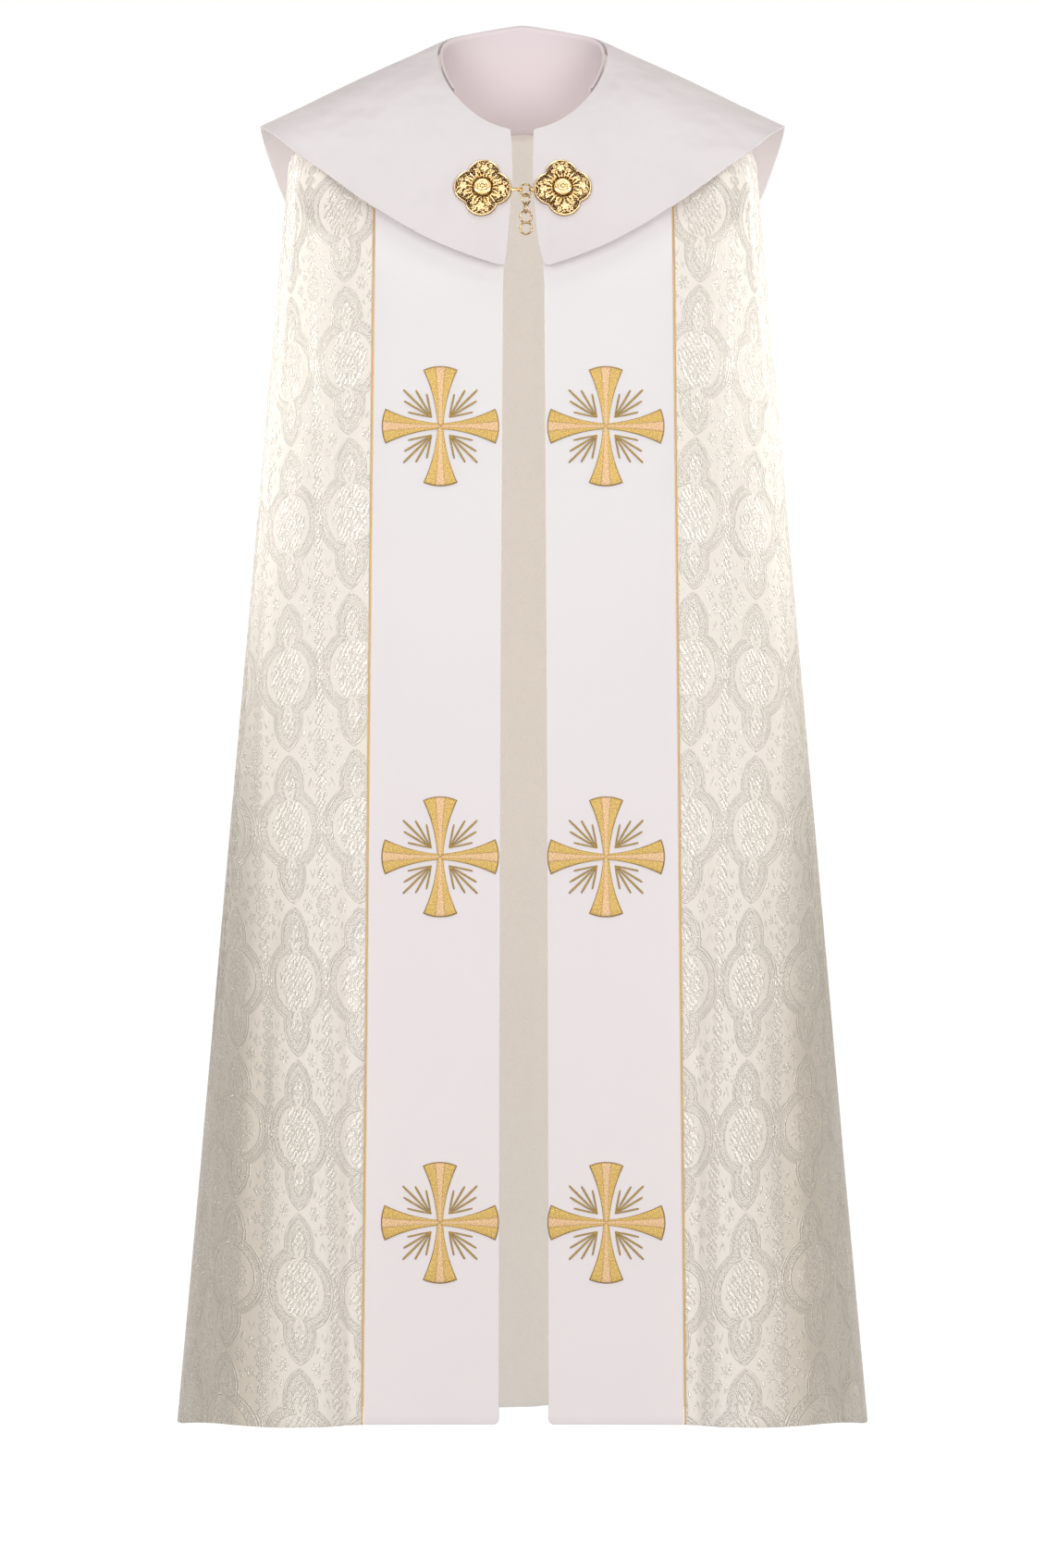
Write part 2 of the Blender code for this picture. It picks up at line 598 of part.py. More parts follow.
# ---------------------------------------------------------------- clasp
def quatrefoil(width, height, n=48):
    """Four round lobes; radius of the outline by angle."""
    pts = []
    lobe = 0.285
    off = 0.5 - lobe
    for i in range(n):
        a = 2 * math.pi * (i + 0.5) / n
        best = 0.0
        for k in range(4):
            ca = a - k * math.pi / 2
            d = lobe ** 2 - (off * math.sin(ca)) ** 2
            if d >= 0 and math.cos(ca) > 0:
                best = max(best, off * math.cos(ca) + math.sqrt(d))
        pts.append((best * math.cos(a) * width, best * math.sin(a) * height))
    return pts


def plate(name, side):
    """Quatrefoil plate: flat rim, raised rounded body and a turned boss, closed by its flat underside."""
    x0, z0 = PLATE_AT[side]
    # frame of the collar's face under the plate
    s = -1.0 if side == "right" else 1.0
    best = None
    for iu in range(60, 100):
        for it in range(20, 90, 1):
            p = collar_point(s * iu / 100.0, it / 100.0)
            d = (p[0] - x0) ** 2 + (p[2] - z0) ** 2
            if best is None or d < best[0]:
                best = (d, iu / 100.0, it / 100.0)
    u, t = best[1], best[2]
    at = collar_point(s * u, t)
    du = collar_point(s * (u - 0.02), t) - collar_point(s * (u + 0.02), t)
    dt = collar_point(s * u, t - 0.05) - collar_point(s * u, t + 0.05)
    up = dt / np.linalg.norm(dt)
    across = du - up * du.dot(up)
    across /= np.linalg.norm(across)
    across *= -1 if across[0] < 0 else 1
    nrm = np.cross(across, up)
    nrm *= -1 if nrm[1] > 0 else 1
    # level the plate
    level = np.array([1.0, 0, 0]) - nrm * nrm[0]
    across = level / np.linalg.norm(level)
    up = np.cross(nrm, across)
    up *= -1 if up[2] < 0 else 1
    # each plate leans a little outward at its foot
    turn = math.radians(PLATE_TURN[side])
    across, up = across * math.cos(turn) + up * math.sin(turn), up * math.cos(turn) - across * math.sin(turn)
    proud = max(float(np.dot(collar_point(s * (u + i * 0.012), t + j * 0.045) - at, nrm))
                for i in range(-9, 10) for j in range(-5, 6) if abs(u + i * 0.012) <= 1.0)
    base = at + nrm * (proud + 0.0005)
    layers = [  # scale of the outline, height above the back
        (0.97, 0.0), (1.0, 0.0007), (1.0, 0.0022), (0.93, 0.0034), (0.72, 0.0050), (0.46, 0.0056), (0.40, 0.0040),
    ]
    boss = [(0.0098, 0.0040), (0.0094, 0.0062), (0.0072, 0.0082), (0.0034, 0.0092)]
    n = 40
    outline = quatrefoil(PLATE_W, PLATE_H, n)
    bm = bmesh.new()
    loops = []
    for k, hgt in layers:
        mix = smooth((k - 0.42) / 0.3)
        loop = []
        for x, y in outline:
            r = math.hypot(x, y)
            rr = r * k * mix + 0.0305 * k * (1 - mix)
            loop.append(bm.verts.new(base + across * (x / r * rr) + up * (y / r * rr) + nrm * hgt))
        loops.append(loop)
    for rad, hgt in boss:
        loops.append([bm.verts.new(base + across * (x / math.hypot(x, y) * rad) + up * (y / math.hypot(x, y) * rad)
                                   + nrm * hgt) for x, y in outline])
    for a, b in zip(loops, loops[1:]):
        for i in range(n):
            j = (i + 1) % n
            bm.faces.new((a[i], a[j], b[j], b[i]))
    bm.faces.new(loops[0][::-1])
    bm.faces.new(loops[-1])
    bmesh.ops.recalc_face_normals(bm, faces=bm.faces)
    add_mesh(name, bm, material("gold_" + name, **GOLD))
    return base, across, up, nrm


plate_frames = {side: plate("clasp_plate_" + side, side) for side in ("right", "left")}


def ring_ob(name, centre, radius, wire, turn_deg, mat):
    """Round wire ring, hanging upright, turned about the vertical; a turned shape."""
    bpy.ops.mesh.primitive_torus_add(major_segments=20, minor_segments=6, major_radius=radius, minor_radius=wire,
                                     location=centre, rotation=(math.pi / 2, 0, math.radians(turn_deg)))
    ob = bpy.context.object
    ob.name = name
    for c in list(ob.users_collection):
        c.objects.unlink(ob)
    COPE.objects.link(ob)
    ob.data.name = name
    ob.data.materials.append(mat)
    ob.data.shade_smooth()
    return ob


rx, rz = RING_AT
ring_ob("clasp_ring", (rx, RING_Y, rz), RING_R, RING_WIRE, 0, material("gold_ring", **GOLD))
# Each link hangs in the one above: the inner sides of the two wires rest on each other, 0.3 mm apart.
GAP = 0.0003
z_pivot1 = rz - RING_R
z1 = z_pivot1 + RING_WIRE + GAP + LINK_WIRE - LINK_R
z_pivot2 = z1 - LINK_R
z2 = z_pivot2 + LINK_WIRE + GAP + LINK_WIRE - LINK_R
z_pivot3 = z2 - LINK_R
z3 = z_pivot3 + LINK_WIRE + GAP + EIGHT_WIRE - EIGHT_R
ring_ob("chain_link_upper", (rx, RING_Y, z1), LINK_R, LINK_WIRE, LINK_TURN[0], material("gold_link_upper", **GOLD))
ring_ob("chain_link_lower", (rx, RING_Y, z2), LINK_R, LINK_WIRE, LINK_TURN[1], material("gold_link_lower", **GOLD))
top_ring = ring_ob("chain_eight", (rx, RING_Y, z3), EIGHT_R, EIGHT_WIRE, 0, material("gold_eight", **GOLD))
low_ring = ring_ob("eight_low", (rx, RING_Y, z3 - 2 * EIGHT_R + 0.0002), EIGHT_R, EIGHT_WIRE, 0,
                   material("gold_eight_low", **GOLD))
low_ring.hide_render = True
low_ring.display_type = "WIRE"
mod = top_ring.modifiers.new("joined", "BOOLEAN")
mod.operation = "UNION"
mod.object = low_ring


def hook(name, side):
    """Flat strip from the plate's edge, passing in front of the ring's wire and curling back round it."""
    base, across, up, nrm = plate_frames[side]
    s = 1.0 if side == "right" else -1.0                      # toward the middle
    wire_x = rx - s * RING_R                                  # the ring's wire on this side
    plate_edge = base[0] + s * (PLATE_W / 2 - 0.0010)
    inner_r, thick, high = RING_WIRE + 0.0010, 0.0010, 0.0036
    path = []                                                 # centre line in plan, from under the plate round the wire
    r = inner_r + thick / 2
    y_front = RING_Y - r
    path.append((plate_edge + s * 0.0010 - (0.0004 if side == "right" else 0.0), y_front))
    for k in range(0, 9):
        a = -90 + (235 if side == "right" else 180) * k / 8
        path.append((wire_x + s * r * math.cos(math.radians(a)), RING_Y + r * math.sin(math.radians(a))))
    bm = bmesh.new()
    left, right = [], []
    for i, (px, py) in enumerate(path):
        q0, q1 = path[max(i - 1, 0)], path[min(i + 1, len(path) - 1)]
        d = Vector((q1[0] - q0[0], q1[1] - q0[1])).normalized()
        nn = Vector((-d.y, d.x)) * thick / 2
        left.append((px + nn.x, py + nn.y))
        right.append((px - nn.x, py - nn.y))
    outline = left + right[::-1]
    low = [bm.verts.new((x, y, rz + 0.0006 - high / 2)) for x, y in outline]
    top = [bm.verts.new((x, y, rz + 0.0006 + high / 2)) for x, y in outline]
    n = len(outline)
    m = len(path)
    for i in range(n):
        j = (i + 1) % n
        bm.faces.new((low[i], low[j], top[j], top[i]))
    for i in range(m - 1):
        bm.faces.new((low[i], low[i + 1], low[n - 2 - i], low[n - 1 - i]))
        bm.faces.new((top[i], top[i + 1], top[n - 2 - i], top[n - 1 - i]))
    bmesh.ops.recalc_face_normals(bm, faces=bm.faces)
    return add_mesh(name, bm, material("gold_" + name, **GOLD), False)


hook("clasp_hook", "right")
hook("clasp_eye", "left")
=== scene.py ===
"""Cope vestment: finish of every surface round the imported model.

Metres, +Z up, the open front faces -Y, +X is the wearer's left. The cloth is worked out from the same sizes and
rings as the solids, finer, with its creases. Patterns are drawn by node arithmetic on the cloth's own cut.
"""

import math

import bmesh
import bpy
import numpy as np
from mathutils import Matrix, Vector, kdtree


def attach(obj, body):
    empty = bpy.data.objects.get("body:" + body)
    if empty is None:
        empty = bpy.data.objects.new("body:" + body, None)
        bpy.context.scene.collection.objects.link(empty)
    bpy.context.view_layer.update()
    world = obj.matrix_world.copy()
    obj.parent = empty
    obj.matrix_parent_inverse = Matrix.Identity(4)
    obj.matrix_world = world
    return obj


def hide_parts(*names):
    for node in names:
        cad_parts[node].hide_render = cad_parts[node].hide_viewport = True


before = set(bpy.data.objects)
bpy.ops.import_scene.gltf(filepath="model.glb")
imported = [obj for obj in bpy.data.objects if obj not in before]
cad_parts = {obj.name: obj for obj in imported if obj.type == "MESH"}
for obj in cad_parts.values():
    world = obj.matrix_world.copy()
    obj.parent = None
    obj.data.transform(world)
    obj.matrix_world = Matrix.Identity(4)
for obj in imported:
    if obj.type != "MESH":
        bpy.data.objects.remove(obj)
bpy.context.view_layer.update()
scene = bpy.context.scene

# ================================================================ sizes of the garment
CLOTH, BAND_CLOTH, COLLAR_CLOTH, FACING_CLOTH = 0.0020, 0.0024, 0.0025, 0.0012
SEAM_GAP, PIPING_R, PIPING_GAP, BAND_SHIFT = 0.0007, 0.0010, 0.0015, 0.0012
NECK_X, NECK_FRONT, NECK_BACK = 0.0918, 0.100, 0.070
NECK_Z = (0.0032, -0.0674, -0.0138)
NECK_DIP = 0.0068
COLLAR_FRONT_A, COLLAR_SHOULDER_A = 7.95, 105.0
BODY_DROP = 0.0074
SEAM_REACH, SEAM_SINK, SEAM_BACK = 0.60, 0.088, 0.150
BODY_FRONT_A, BODY_BAND_A, BODY_SIDE_A = 8.3, 55.0, 100.0
HEIGHTS = [
    # name     front     side      back     rise
    ("top",  -0.2450, -0.1150, -0.1400, 1.3),
    ("mid",  -0.7000, -0.6700, -0.6900, 1.6),
    ("low",  -1.0000, -0.9900, -1.0050, 2.1),
    ("hem",  -1.4425, -1.4610, -1.4750, 3.2),
]
FRONT_PLAN = {
    # station    top               mid               low               hem
    "inner":  [(0.0218, -0.1370), (0.0243, -0.1510), (0.0252, -0.1630), (0.0260, -0.1820)],
    "piping": [(0.1583, -0.1345), (0.1627, -0.1530), (0.1650, -0.1660), (0.1690, -0.1840)],
    "ridge":  [(0.1850, -0.1390), (0.1900, -0.1625), (0.1950, -0.1775), (0.2050, -0.2000)],
    "wall":   [(0.2070, -0.1380), (0.2200, -0.1670), (0.2250, -0.1810), (0.2320, -0.2060)],
    "foot":   [(0.2265, -0.1315), (0.2515, -0.1650), (0.2560, -0.1740), (0.2580, -0.2035)],
    "valley": [(0.2395, -0.1190), (0.2755, -0.1590), (0.2825, -0.1590), (0.2850, -0.1870)],
    "roll":   [(0.2475, -0.0930), (0.2900, -0.1400), (0.3050, -0.1310), (0.3150, -0.1530)],
    "corner": [(0.2510, -0.0520), (0.2964, -0.0880), (0.3210, -0.0890), (0.3470, -0.0950)],
    "side":   [(0.2525,  0.0000), (0.3013,  0.0000), (0.3303,  0.0000), (0.3733,  0.0000)],
}
BACK_DEPTH = [0.1020, 0.1850, 0.2150, 0.2500]
BACK_POWER = [2.05, 2.2, 2.3, 2.3]
BACK_ANGLES = [16.0, 34.0, 52.0, 71.0]
BACK_FOLDS = [
    # at     depth   width   from
    (0.100, -0.014, 0.040, -0.45),
    (0.185,  0.020, 0.046, -0.30),
    (0.290, -0.022, 0.044, -0.35),
    (0.385,  0.017, 0.042, -0.55),
    (0.470, -0.012, 0.038, -0.40),
    (0.560,  0.019, 0.046, -0.50),
    (0.665, -0.024, 0.048, -0.32),
    (0.770,  0.021, 0.042, -0.42),
    (0.850, -0.010, 0.034, -0.60),
    (0.915,  0.008, 0.030, -0.70),
]
RIM_X, RIM_FRONT, RIM_BACK, RIM_POWER = 0.2837, 0.1460, 0.1480, 2.25
RIM_FRONT_A = 3.9
RIM_FRONT_Z = [(3.9, -0.2275), (12.8, -0.2127), (21.1, -0.1953), (33.6, -0.1624), (49.7, -0.1180),
               (60.2, -0.0953), (68.0, -0.0800), (80.0, -0.0668), (90.0, -0.0618)]
RIM_BACK_Z = [(90.0, -0.0618), (97.0, -0.0745), (104.0, -0.0950), (112.5, -0.1300), (125.0, -0.1830),
              (140.0, -0.2430), (155.0, -0.2950), (168.0, -0.3270), (180.0, -0.3380)]
COLLAR_EDGE = [
    # t     right    left
    (0.00, -0.0127, 0.0117),
    (0.22, -0.0106, 0.0107),
    (0.42, -0.0102, 0.0108),
    (0.62, -0.0132, 0.0133),
    (0.85, -0.0163, 0.0172),
    (1.00, -0.0190, 0.0236),
]
COLLAR_BULGE, COLLAR_BLADE, COLLAR_CHEST = 0.0036, 0.0085, 0.0022
CROSS_Z = [("top", -0.3955), ("middle", -0.8490), ("low", -1.2320)]
CROSS_ARM, CROSS_END, CROSS_ARC, CROSS_WAIST = 0.0635, 0.0185, 0.0040, 0.0032
CROSS_NARROW = 0.972
CROSS_LIFT, CROSS_THICK = 0.0004, 0.0010
PLATE_W, PLATE_H = 0.0612, 0.0650
PLATE_AT = {"right": (-0.0413, -0.1434), "left": (0.0434, -0.1430)}
PLATE_TURN = {"right": -5.5, "left": 6.0}
RING_Y = -0.1262
RING_R, RING_WIRE, RING_AT = 0.0062, 0.00105, (0.0036, -0.1450)
LINK_R, LINK_WIRE, LINK_TURN = 0.0056, 0.00090, (43.0, -72.0)
EIGHT_R, EIGHT_WIRE = 0.0062, 0.00100

# ================================================================ view
CAM_DIST, CAM_Z, FRAME_H = 5.6, -0.7725, 1.695
FLOOR_Z = -1.600

# ================================================================ shape helpers


def smooth(t):
    t = min(max(t, 0.0), 1.0)
    return t * t * (3.0 - 2.0 * t)


def frange(a, b, n):
    return [a + (b - a) * i / (n - 1) for i in range(n)]


def through(knots, values, x):
    """Smooth curve through (knots, values), straight beyond the ends."""
    knots = [float(k) for k in knots]
    if knots[0] > knots[-1]:
        knots, values = knots[::-1], list(values)[::-1]
    v = np.asarray(values, dtype=float)
    n = len(knots)
    slopes = []
    for i in range(n):
        if i == 0:
            slopes.append((v[1] - v[0]) / (knots[1] - knots[0]))
        elif i == n - 1:
            slopes.append((v[-1] - v[-2]) / (knots[-1] - knots[-2]))
        else:
            a, b = knots[i] - knots[i - 1], knots[i + 1] - knots[i]
            da, db = (v[i] - v[i - 1]) / a, (v[i + 1] - v[i]) / b
            slopes.append((da * b + db * a) / (a + b))
    i = 0
    while i < n - 2 and x > knots[i + 1]:
        i += 1
    h = knots[i + 1] - knots[i]
    t = (x - knots[i]) / h
    if t < 0.0:
        return v[0] + slopes[0] * (x - knots[0])
    if t > 1.0:
        return v[-1] + slopes[-1] * (x - knots[-1])
    return ((2 * t**3 - 3 * t**2 + 1) * v[i] + (t**3 - 2 * t**2 + t) * h * slopes[i]
            + (-2 * t**3 + 3 * t**2) * v[i + 1] + (t**3 - t**2) * h * slopes[i + 1])


def under(a_deg):
    return 0.001 - 0.0055 * math.cos(math.radians(a_deg)) ** 2


def neck_point(a_deg, grow=0.0, drop=0.0):
    a = math.radians(a_deg)
    c, s = math.cos(a), math.sin(a)
    depth = NECK_FRONT if c > 0 else NECK_BACK
    z = NECK_Z[0] + NECK_Z[1] * c + NECK_Z[2] * math.cos(2 * a)
    if c < 0:
        z -= NECK_DIP * abs(math.sin(2 * a)) ** 1.3
    return np.array([(NECK_X + grow) * s, -(depth + grow) * c, z - drop])


def catmull_curve(points, per_span=16):
    p = [np.array(q, dtype=float) for q in points]
    p = [2 * p[0] - p[1]] + p + [2 * p[-1] - p[-2]]
    out, marks = [], []
    ks = np.arange(per_span)[:, None] / per_span
    for i in range(1, len(p) - 2):
        p0, p1, p2, p3 = p[i - 1:i + 3]
        t0 = 0.0
        t1 = t0 + np.linalg.norm(p1 - p0) ** 0.5
        t2 = t1 + np.linalg.norm(p2 - p1) ** 0.5
        t3 = t2 + np.linalg.norm(p3 - p2) ** 0.5
        marks.append(len(out))
        t = t1 + (t2 - t1) * ks
        a1 = (t1 - t) / (t1 - t0) * p0 + (t - t0) / (t1 - t0) * p1
        a2 = (t2 - t) / (t2 - t1) * p1 + (t - t1) / (t2 - t1) * p2
        a3 = (t3 - t) / (t3 - t2) * p2 + (t - t2) / (t3 - t2) * p3
        b1 = (t2 - t) / (t2 - t0) * a1 + (t - t0) / (t2 - t0) * a2
        b2 = (t3 - t) / (t3 - t1) * a2 + (t - t1) / (t3 - t1) * a3
        out.extend(list((t2 - t) / (t2 - t1) * b1 + (t - t1) / (t2 - t1) * b2))
    marks.append(len(out))
    out.append(p[-2])
    return np.array(out), marks


def resample(line, fractions):
    seg = np.linalg.norm(np.diff(line, axis=0), axis=1)
    s = np.concatenate([[0.0], np.cumsum(seg)])
    want = np.asarray(fractions) * s[-1]
    return np.column_stack([np.interp(want, s, line[:, k]) for k in range(line.shape[1])])


SECTIONS = ("band_r", "front_r", "back", "front_l", "band_l")


def plan_outline(h):
    knots = [row[2] for row in HEIGHTS]
    z_side = through([0, 1, 2, 3], knots, h)
    order = list(FRONT_PLAN)
    front = [np.array(through(knots, FRONT_PLAN[name], z_side)) for name in order]
    depth = float(through(knots, [[d] for d in BACK_DEPTH], z_side)[0])
    power = float(through(knots, [[d] for d in BACK_POWER], z_side)[0])
    side_x = front[-1][0]
    back = []
    for deg in BACK_ANGLES:
        t = math.radians(deg)
        back.append(np.array([side_x * math.cos(t) ** (2 / power), depth * math.sin(t) ** (2 / power)]))
    half = front + back
    right = [np.array([-p[0], p[1]]) for p in half]
    pts = right + [np.array([0.0, depth])] + half[::-1]
    line, marks = catmull_curve(pts[1:-1])
    n = len(order)
    side_r, side_l = marks[n - 2], marks[len(pts) - 2 - (n - 1)]
    parts = {
        "band_r": np.array([right[0], right[1]]), "front_r": line[:side_r + 1], "back": line[side_r:side_l + 1],
        "front_l": line[side_l:], "band_l": np.array([half[1], half[0]]),
    }
    for name in ("band_r", "band_l"):
        parts[name] = parts[name] + np.array([BAND_SHIFT, 0.0])
    for name, flip in (("front_r", False), ("front_l", True)):
        line2 = parts[name].copy()
        w = np.linspace(1, 0, len(line2)) ** 2
        if flip:
            w = w[::-1]
        line2[:, 0] += BAND_SHIFT * w
        parts[name] = line2
    return parts


def fold_out(parts, z_of):
    line = parts["back"]
    tan = np.gradient(line, axis=0)
    tan /= np.linalg.norm(tan, axis=1)[:, None]
    nrm = np.column_stack([-tan[:, 1], tan[:, 0]])
    seg = np.concatenate([[0.0], np.cumsum(np.linalg.norm(np.diff(line, axis=0), axis=1))])
    f = seg / seg[-1]
    move = np.zeros(len(f))
    hem = HEIGHTS[-1][3]
    for at, depth, width, start in BACK_FOLDS:
        grow = min(max((z_of - start) / (hem - start), 0.0), 1.0) ** 1.15
        move += depth * grow * np.exp(-((f - at) / width) ** 2)
    move *= np.clip(np.minimum(f, 1 - f) / 0.06, 0, 1)
    parts["back"] = line + nrm * move[:, None]
    return parts


def ring(w, fractions):
    """Ring of the cloth: w = 0 at the neck, 1 at the top outline, 4 at the hem; fractions per section."""
    h = max(w - 1.0, 0.0)
    knots = [0, 1, 2, 3]
    zf = float(through(knots, [[r[1]] for r in HEIGHTS], h)[0])
    zs = float(through(knots, [[r[2]] for r in HEIGHTS], h)[0])
    zb = float(through(knots, [[r[3]] for r in HEIGHTS], h)[0])
    rise = float(through(knots, [[r[4]] for r in HEIGHTS], h)[0])
    parts = fold_out(plan_outline(h), zb)
    out = {}
    lens = {n: np.linalg.norm(np.diff(parts[n], axis=0), axis=1).sum() for n in SECTIONS}
    for name in SECTIONS:
        fr = np.asarray(fractions[name], dtype=float)
        xy = resample(parts[name], fr)
        side = "r" if name.endswith("_r") else "l"
        if name == "back":
            z = zs + (zb - zs) * np.sin(np.pi * fr) ** 2
            a = BODY_SIDE_A + (180 - BODY_SIDE_A) * 2 * fr
        else:
            total = lens["band_" + side] + lens["front_" + side]
            if name == "band_r":
                f = fr * lens[name] / total
                a = BODY_FRONT_A + (BODY_BAND_A - BODY_FRONT_A) * fr
            elif name == "front_r":
                f = (lens["band_r"] + fr * lens[name]) / total
                a = BODY_BAND_A + (BODY_SIDE_A - BODY_BAND_A) * fr
            elif name == "front_l":
                f = (lens["band_l"] + (1 - fr) * lens[name]) / total
                a = BODY_BAND_A + (BODY_SIDE_A - BODY_BAND_A) * (1 - fr)
            else:
                f = (1 - fr) * lens[name] / total
                a = BODY_FRONT_A + (BODY_BAND_A - BODY_FRONT_A) * (1 - fr)
            z = zf + (zs - zf) * np.sin(np.pi / 2 * f ** rise) ** 2
        pts = np.column_stack([xy, z])
        if w < 1.0:
            for i in range(len(pts)):
                ang = a[i]
                if name == "back":
                    n = neck_point(ang, under(ang), BODY_DROP) * np.array([-1, 1, 1])
                    side_w = smooth(abs(ang - 180) / 80.0) ** 1.6
                else:
                    n = neck_point(ang, under(ang), BODY_DROP) * np.array([-1 if side == "r" else 1, 1, 1])
                    side_w = smooth((ang - BODY_FRONT_A) / (BODY_SIDE_A - BODY_FRONT_A))
                phi = w * math.pi / 2
                hs, vs = math.sin(phi), 0.35 * math.sin(phi) + 0.65 * (1 - math.cos(phi))
                hh = w + (hs - w) * side_w
                vv = w + (vs - w) * side_w
                hh += 0.02 * math.sin(math.pi * w) * (1 - side_w)
                hx = hy = hh
                if name != "back":                            # the piped seam gains its width high on the chest
                    if ang <= BODY_BAND_A:
                        near = (ang - BODY_FRONT_A) / (BODY_BAND_A - BODY_FRONT_A)
                    else:
                        near = 1.0 - smooth((ang - BODY_BAND_A) / 25.0)
                    hx = hh + near * (smooth(hh / SEAM_REACH) - hh)
                    dip = math.exp(-((ang - 66.0) / 14.0) ** 2)
                    hy = hh - SEAM_BACK * dip * math.sin(math.pi * w ** 2.1)
                    vv += SEAM_SINK * dip * math.sin(math.pi * min(w / 0.80, 1.0))
                p = pts[i].copy()
                pts[i, 0] = n[0] + (p[0] - n[0]) * hx
                pts[i, 1] = n[1] + (p[1] - n[1]) * hy
                pts[i, 2] = n[2] + (p[2] - n[2]) * vv
        out[name] = pts
    return out


def inset(grid, start, end):
    """First and last point of each row moved inward along the row, the next ones eased with them."""
    out = np.array(grid, dtype=float)
    for row in out:
        s = np.concatenate([[0.0], np.cumsum(np.linalg.norm(np.diff(row, axis=0), axis=1))])
        L = s[-1]
        want = start + s * (L - start - end) / L
        for k in range(3):
            row[:, k] = np.interp(want, s, row[:, k].copy())
    return out


def grid_normals(p):
    du = np.gradient(p, axis=1)
    dv = np.gradient(p, axis=0)
    n = np.cross(du, dv)
    n /= np.maximum(np.linalg.norm(n, axis=2), 1e-12)[:, :, None]
    return n


def arc(p, axis):
    """Length along the rows (axis 1) or columns (axis 0) of a grid."""
    d = np.linalg.norm(np.diff(p, axis=axis), axis=2)
    pad = [(0, 0), (0, 0)]
    pad[axis] = (1, 0)
    return np.cumsum(np.pad(d, pad), axis=axis)


def grid_area(p):
    a = p[1:, :-1] - p[:-1, :-1]
    b = p[:-1, 1:] - p[:-1, :-1]
    c = p[:-1, 1:] - p[1:, 1:]
    d = p[1:, :-1] - p[1:, 1:]
    return 0.5 * (np.linalg.norm(np.cross(a, b), axis=2).sum() + np.linalg.norm(np.cross(c, d), axis=2).sum())


# ================================================================ node arithmetic
class E:
    """A number computed in a node tree."""

    tree = None

    def __init__(self, s):
        self.s = s.s if isinstance(s, E) else s

    @staticmethod
    def op(kind, *args, clamp=False):
        vals = [a.s if isinstance(a, E) else a for a in args]
        node = E.tree.nodes.new("ShaderNodeMath")
        node.operation = kind
        node.use_clamp = clamp
        for i, v in enumerate(vals):
            if isinstance(v, (int, float)):
                node.inputs[i].default_value = float(v)
            else:
                E.tree.links.new(v, node.inputs[i])
        return E(node.outputs[0])

    def __add__(self, o): return E.op("ADD", self, o)
    __radd__ = __add__
    def __sub__(self, o): return E.op("SUBTRACT", self, o)
    def __rsub__(self, o): return E.op("SUBTRACT", o, self)
    def __mul__(self, o): return E.op("MULTIPLY", self, o)
    __rmul__ = __mul__
    def __truediv__(self, o): return E.op("DIVIDE", self, o)
    def __rtruediv__(self, o): return E.op("DIVIDE", o, self)
    def __neg__(self): return E.op("MULTIPLY", self, -1.0)
    def __pow__(self, o): return E.op("POWER", self, o)


def madd(a, b, c): return E.op("MULTIPLY_ADD", a, b, c)
def vmin(a, b): return E.op("MINIMUM", a, b)
def vmax(a, b): return E.op("MAXIMUM", a, b)
def vabs(a): return E.op("ABSOLUTE", a)
def vsin(a): return E.op("SINE", a)
def vcos(a): return E.op("COSINE", a)
def vsqrt(a): return E.op("SQRT", a)
def vlen(x, y): return vsqrt(madd(x, x, y * y))
def vless(a, b): return E.op("LESS_THAN", a, b)
def vmore(a, b): return E.op("GREATER_THAN", a, b)
def vatan2(y, x): return E.op("ARCTAN2", y, x)
def vround(a): return E.op("ROUND", a)


def ramp(x, a, b, lo=0.0, hi=1.0):
    """Smooth step: lo at a, hi at b."""
    node = E.tree.nodes.new("ShaderNodeMapRange")
    node.interpolation_type = "SMOOTHSTEP"
    node.clamp = True
    x = E(x)
    if isinstance(x.s, (int, float)):
        node.inputs[0].default_value = x.s
    else:
        E.tree.links.new(x.s, node.inputs[0])
    for i, v in enumerate((a, b, lo, hi)):
        v = E(v).s
        if isinstance(v, (int, float)):
            node.inputs[i + 1].default_value = float(v)
        else:
            E.tree.links.new(v, node.inputs[i + 1])
    return E(node.outputs[0])


def line_at(d, at, half, soft=0.45):
    """1 within half of d = at, fading over soft."""
    return ramp(vabs(E(d) - at), half + soft, max(half - soft, 0.0))


def inside(d, soft=0.5):
    """1 where d is below 0."""
    return ramp(d, soft, -soft)


def mixc(fac, a, b):
    """Colour mix; a and b are rgb tuples or colour sockets."""
    node = E.tree.nodes.new("ShaderNodeMix")
    node.data_type = "RGBA"
    node.blend_type = "MIX"
    f = E(fac).s
    if isinstance(f, (int, float)):
        node.inputs[0].default_value = f
    else:
        E.tree.links.new(f, node.inputs[0])
    for idx, v in ((6, a), (7, b)):
        if isinstance(v, tuple):
            node.inputs[idx].default_value = (*v, 1.0)
        else:
            E.tree.links.new(v, node.inputs[idx])
    return node.outputs[2]


def mulc(col, fac):
    """Colour times a number."""
    node = E.tree.nodes.new("ShaderNodeVectorMath")
    node.operation = "SCALE"
    if isinstance(col, tuple):
        node.inputs[0].default_value = col
    else:
        E.tree.links.new(col, node.inputs[0])
    f = E(fac).s
    if isinstance(f, (int, float)):
        node.inputs["Scale"].default_value = f
    else:
        E.tree.links.new(f, node.inputs["Scale"])
    return node.outputs[0]


def combine(x, y, z=0.0):
    node = E.tree.nodes.new("ShaderNodeCombineXYZ")
    for i, v in enumerate((x, y, z)):
        v = E(v).s
        if isinstance(v, (int, float)):
            node.inputs[i].default_value = float(v)
        else:
            E.tree.links.new(v, node.inputs[i])
    return node.outputs[0]


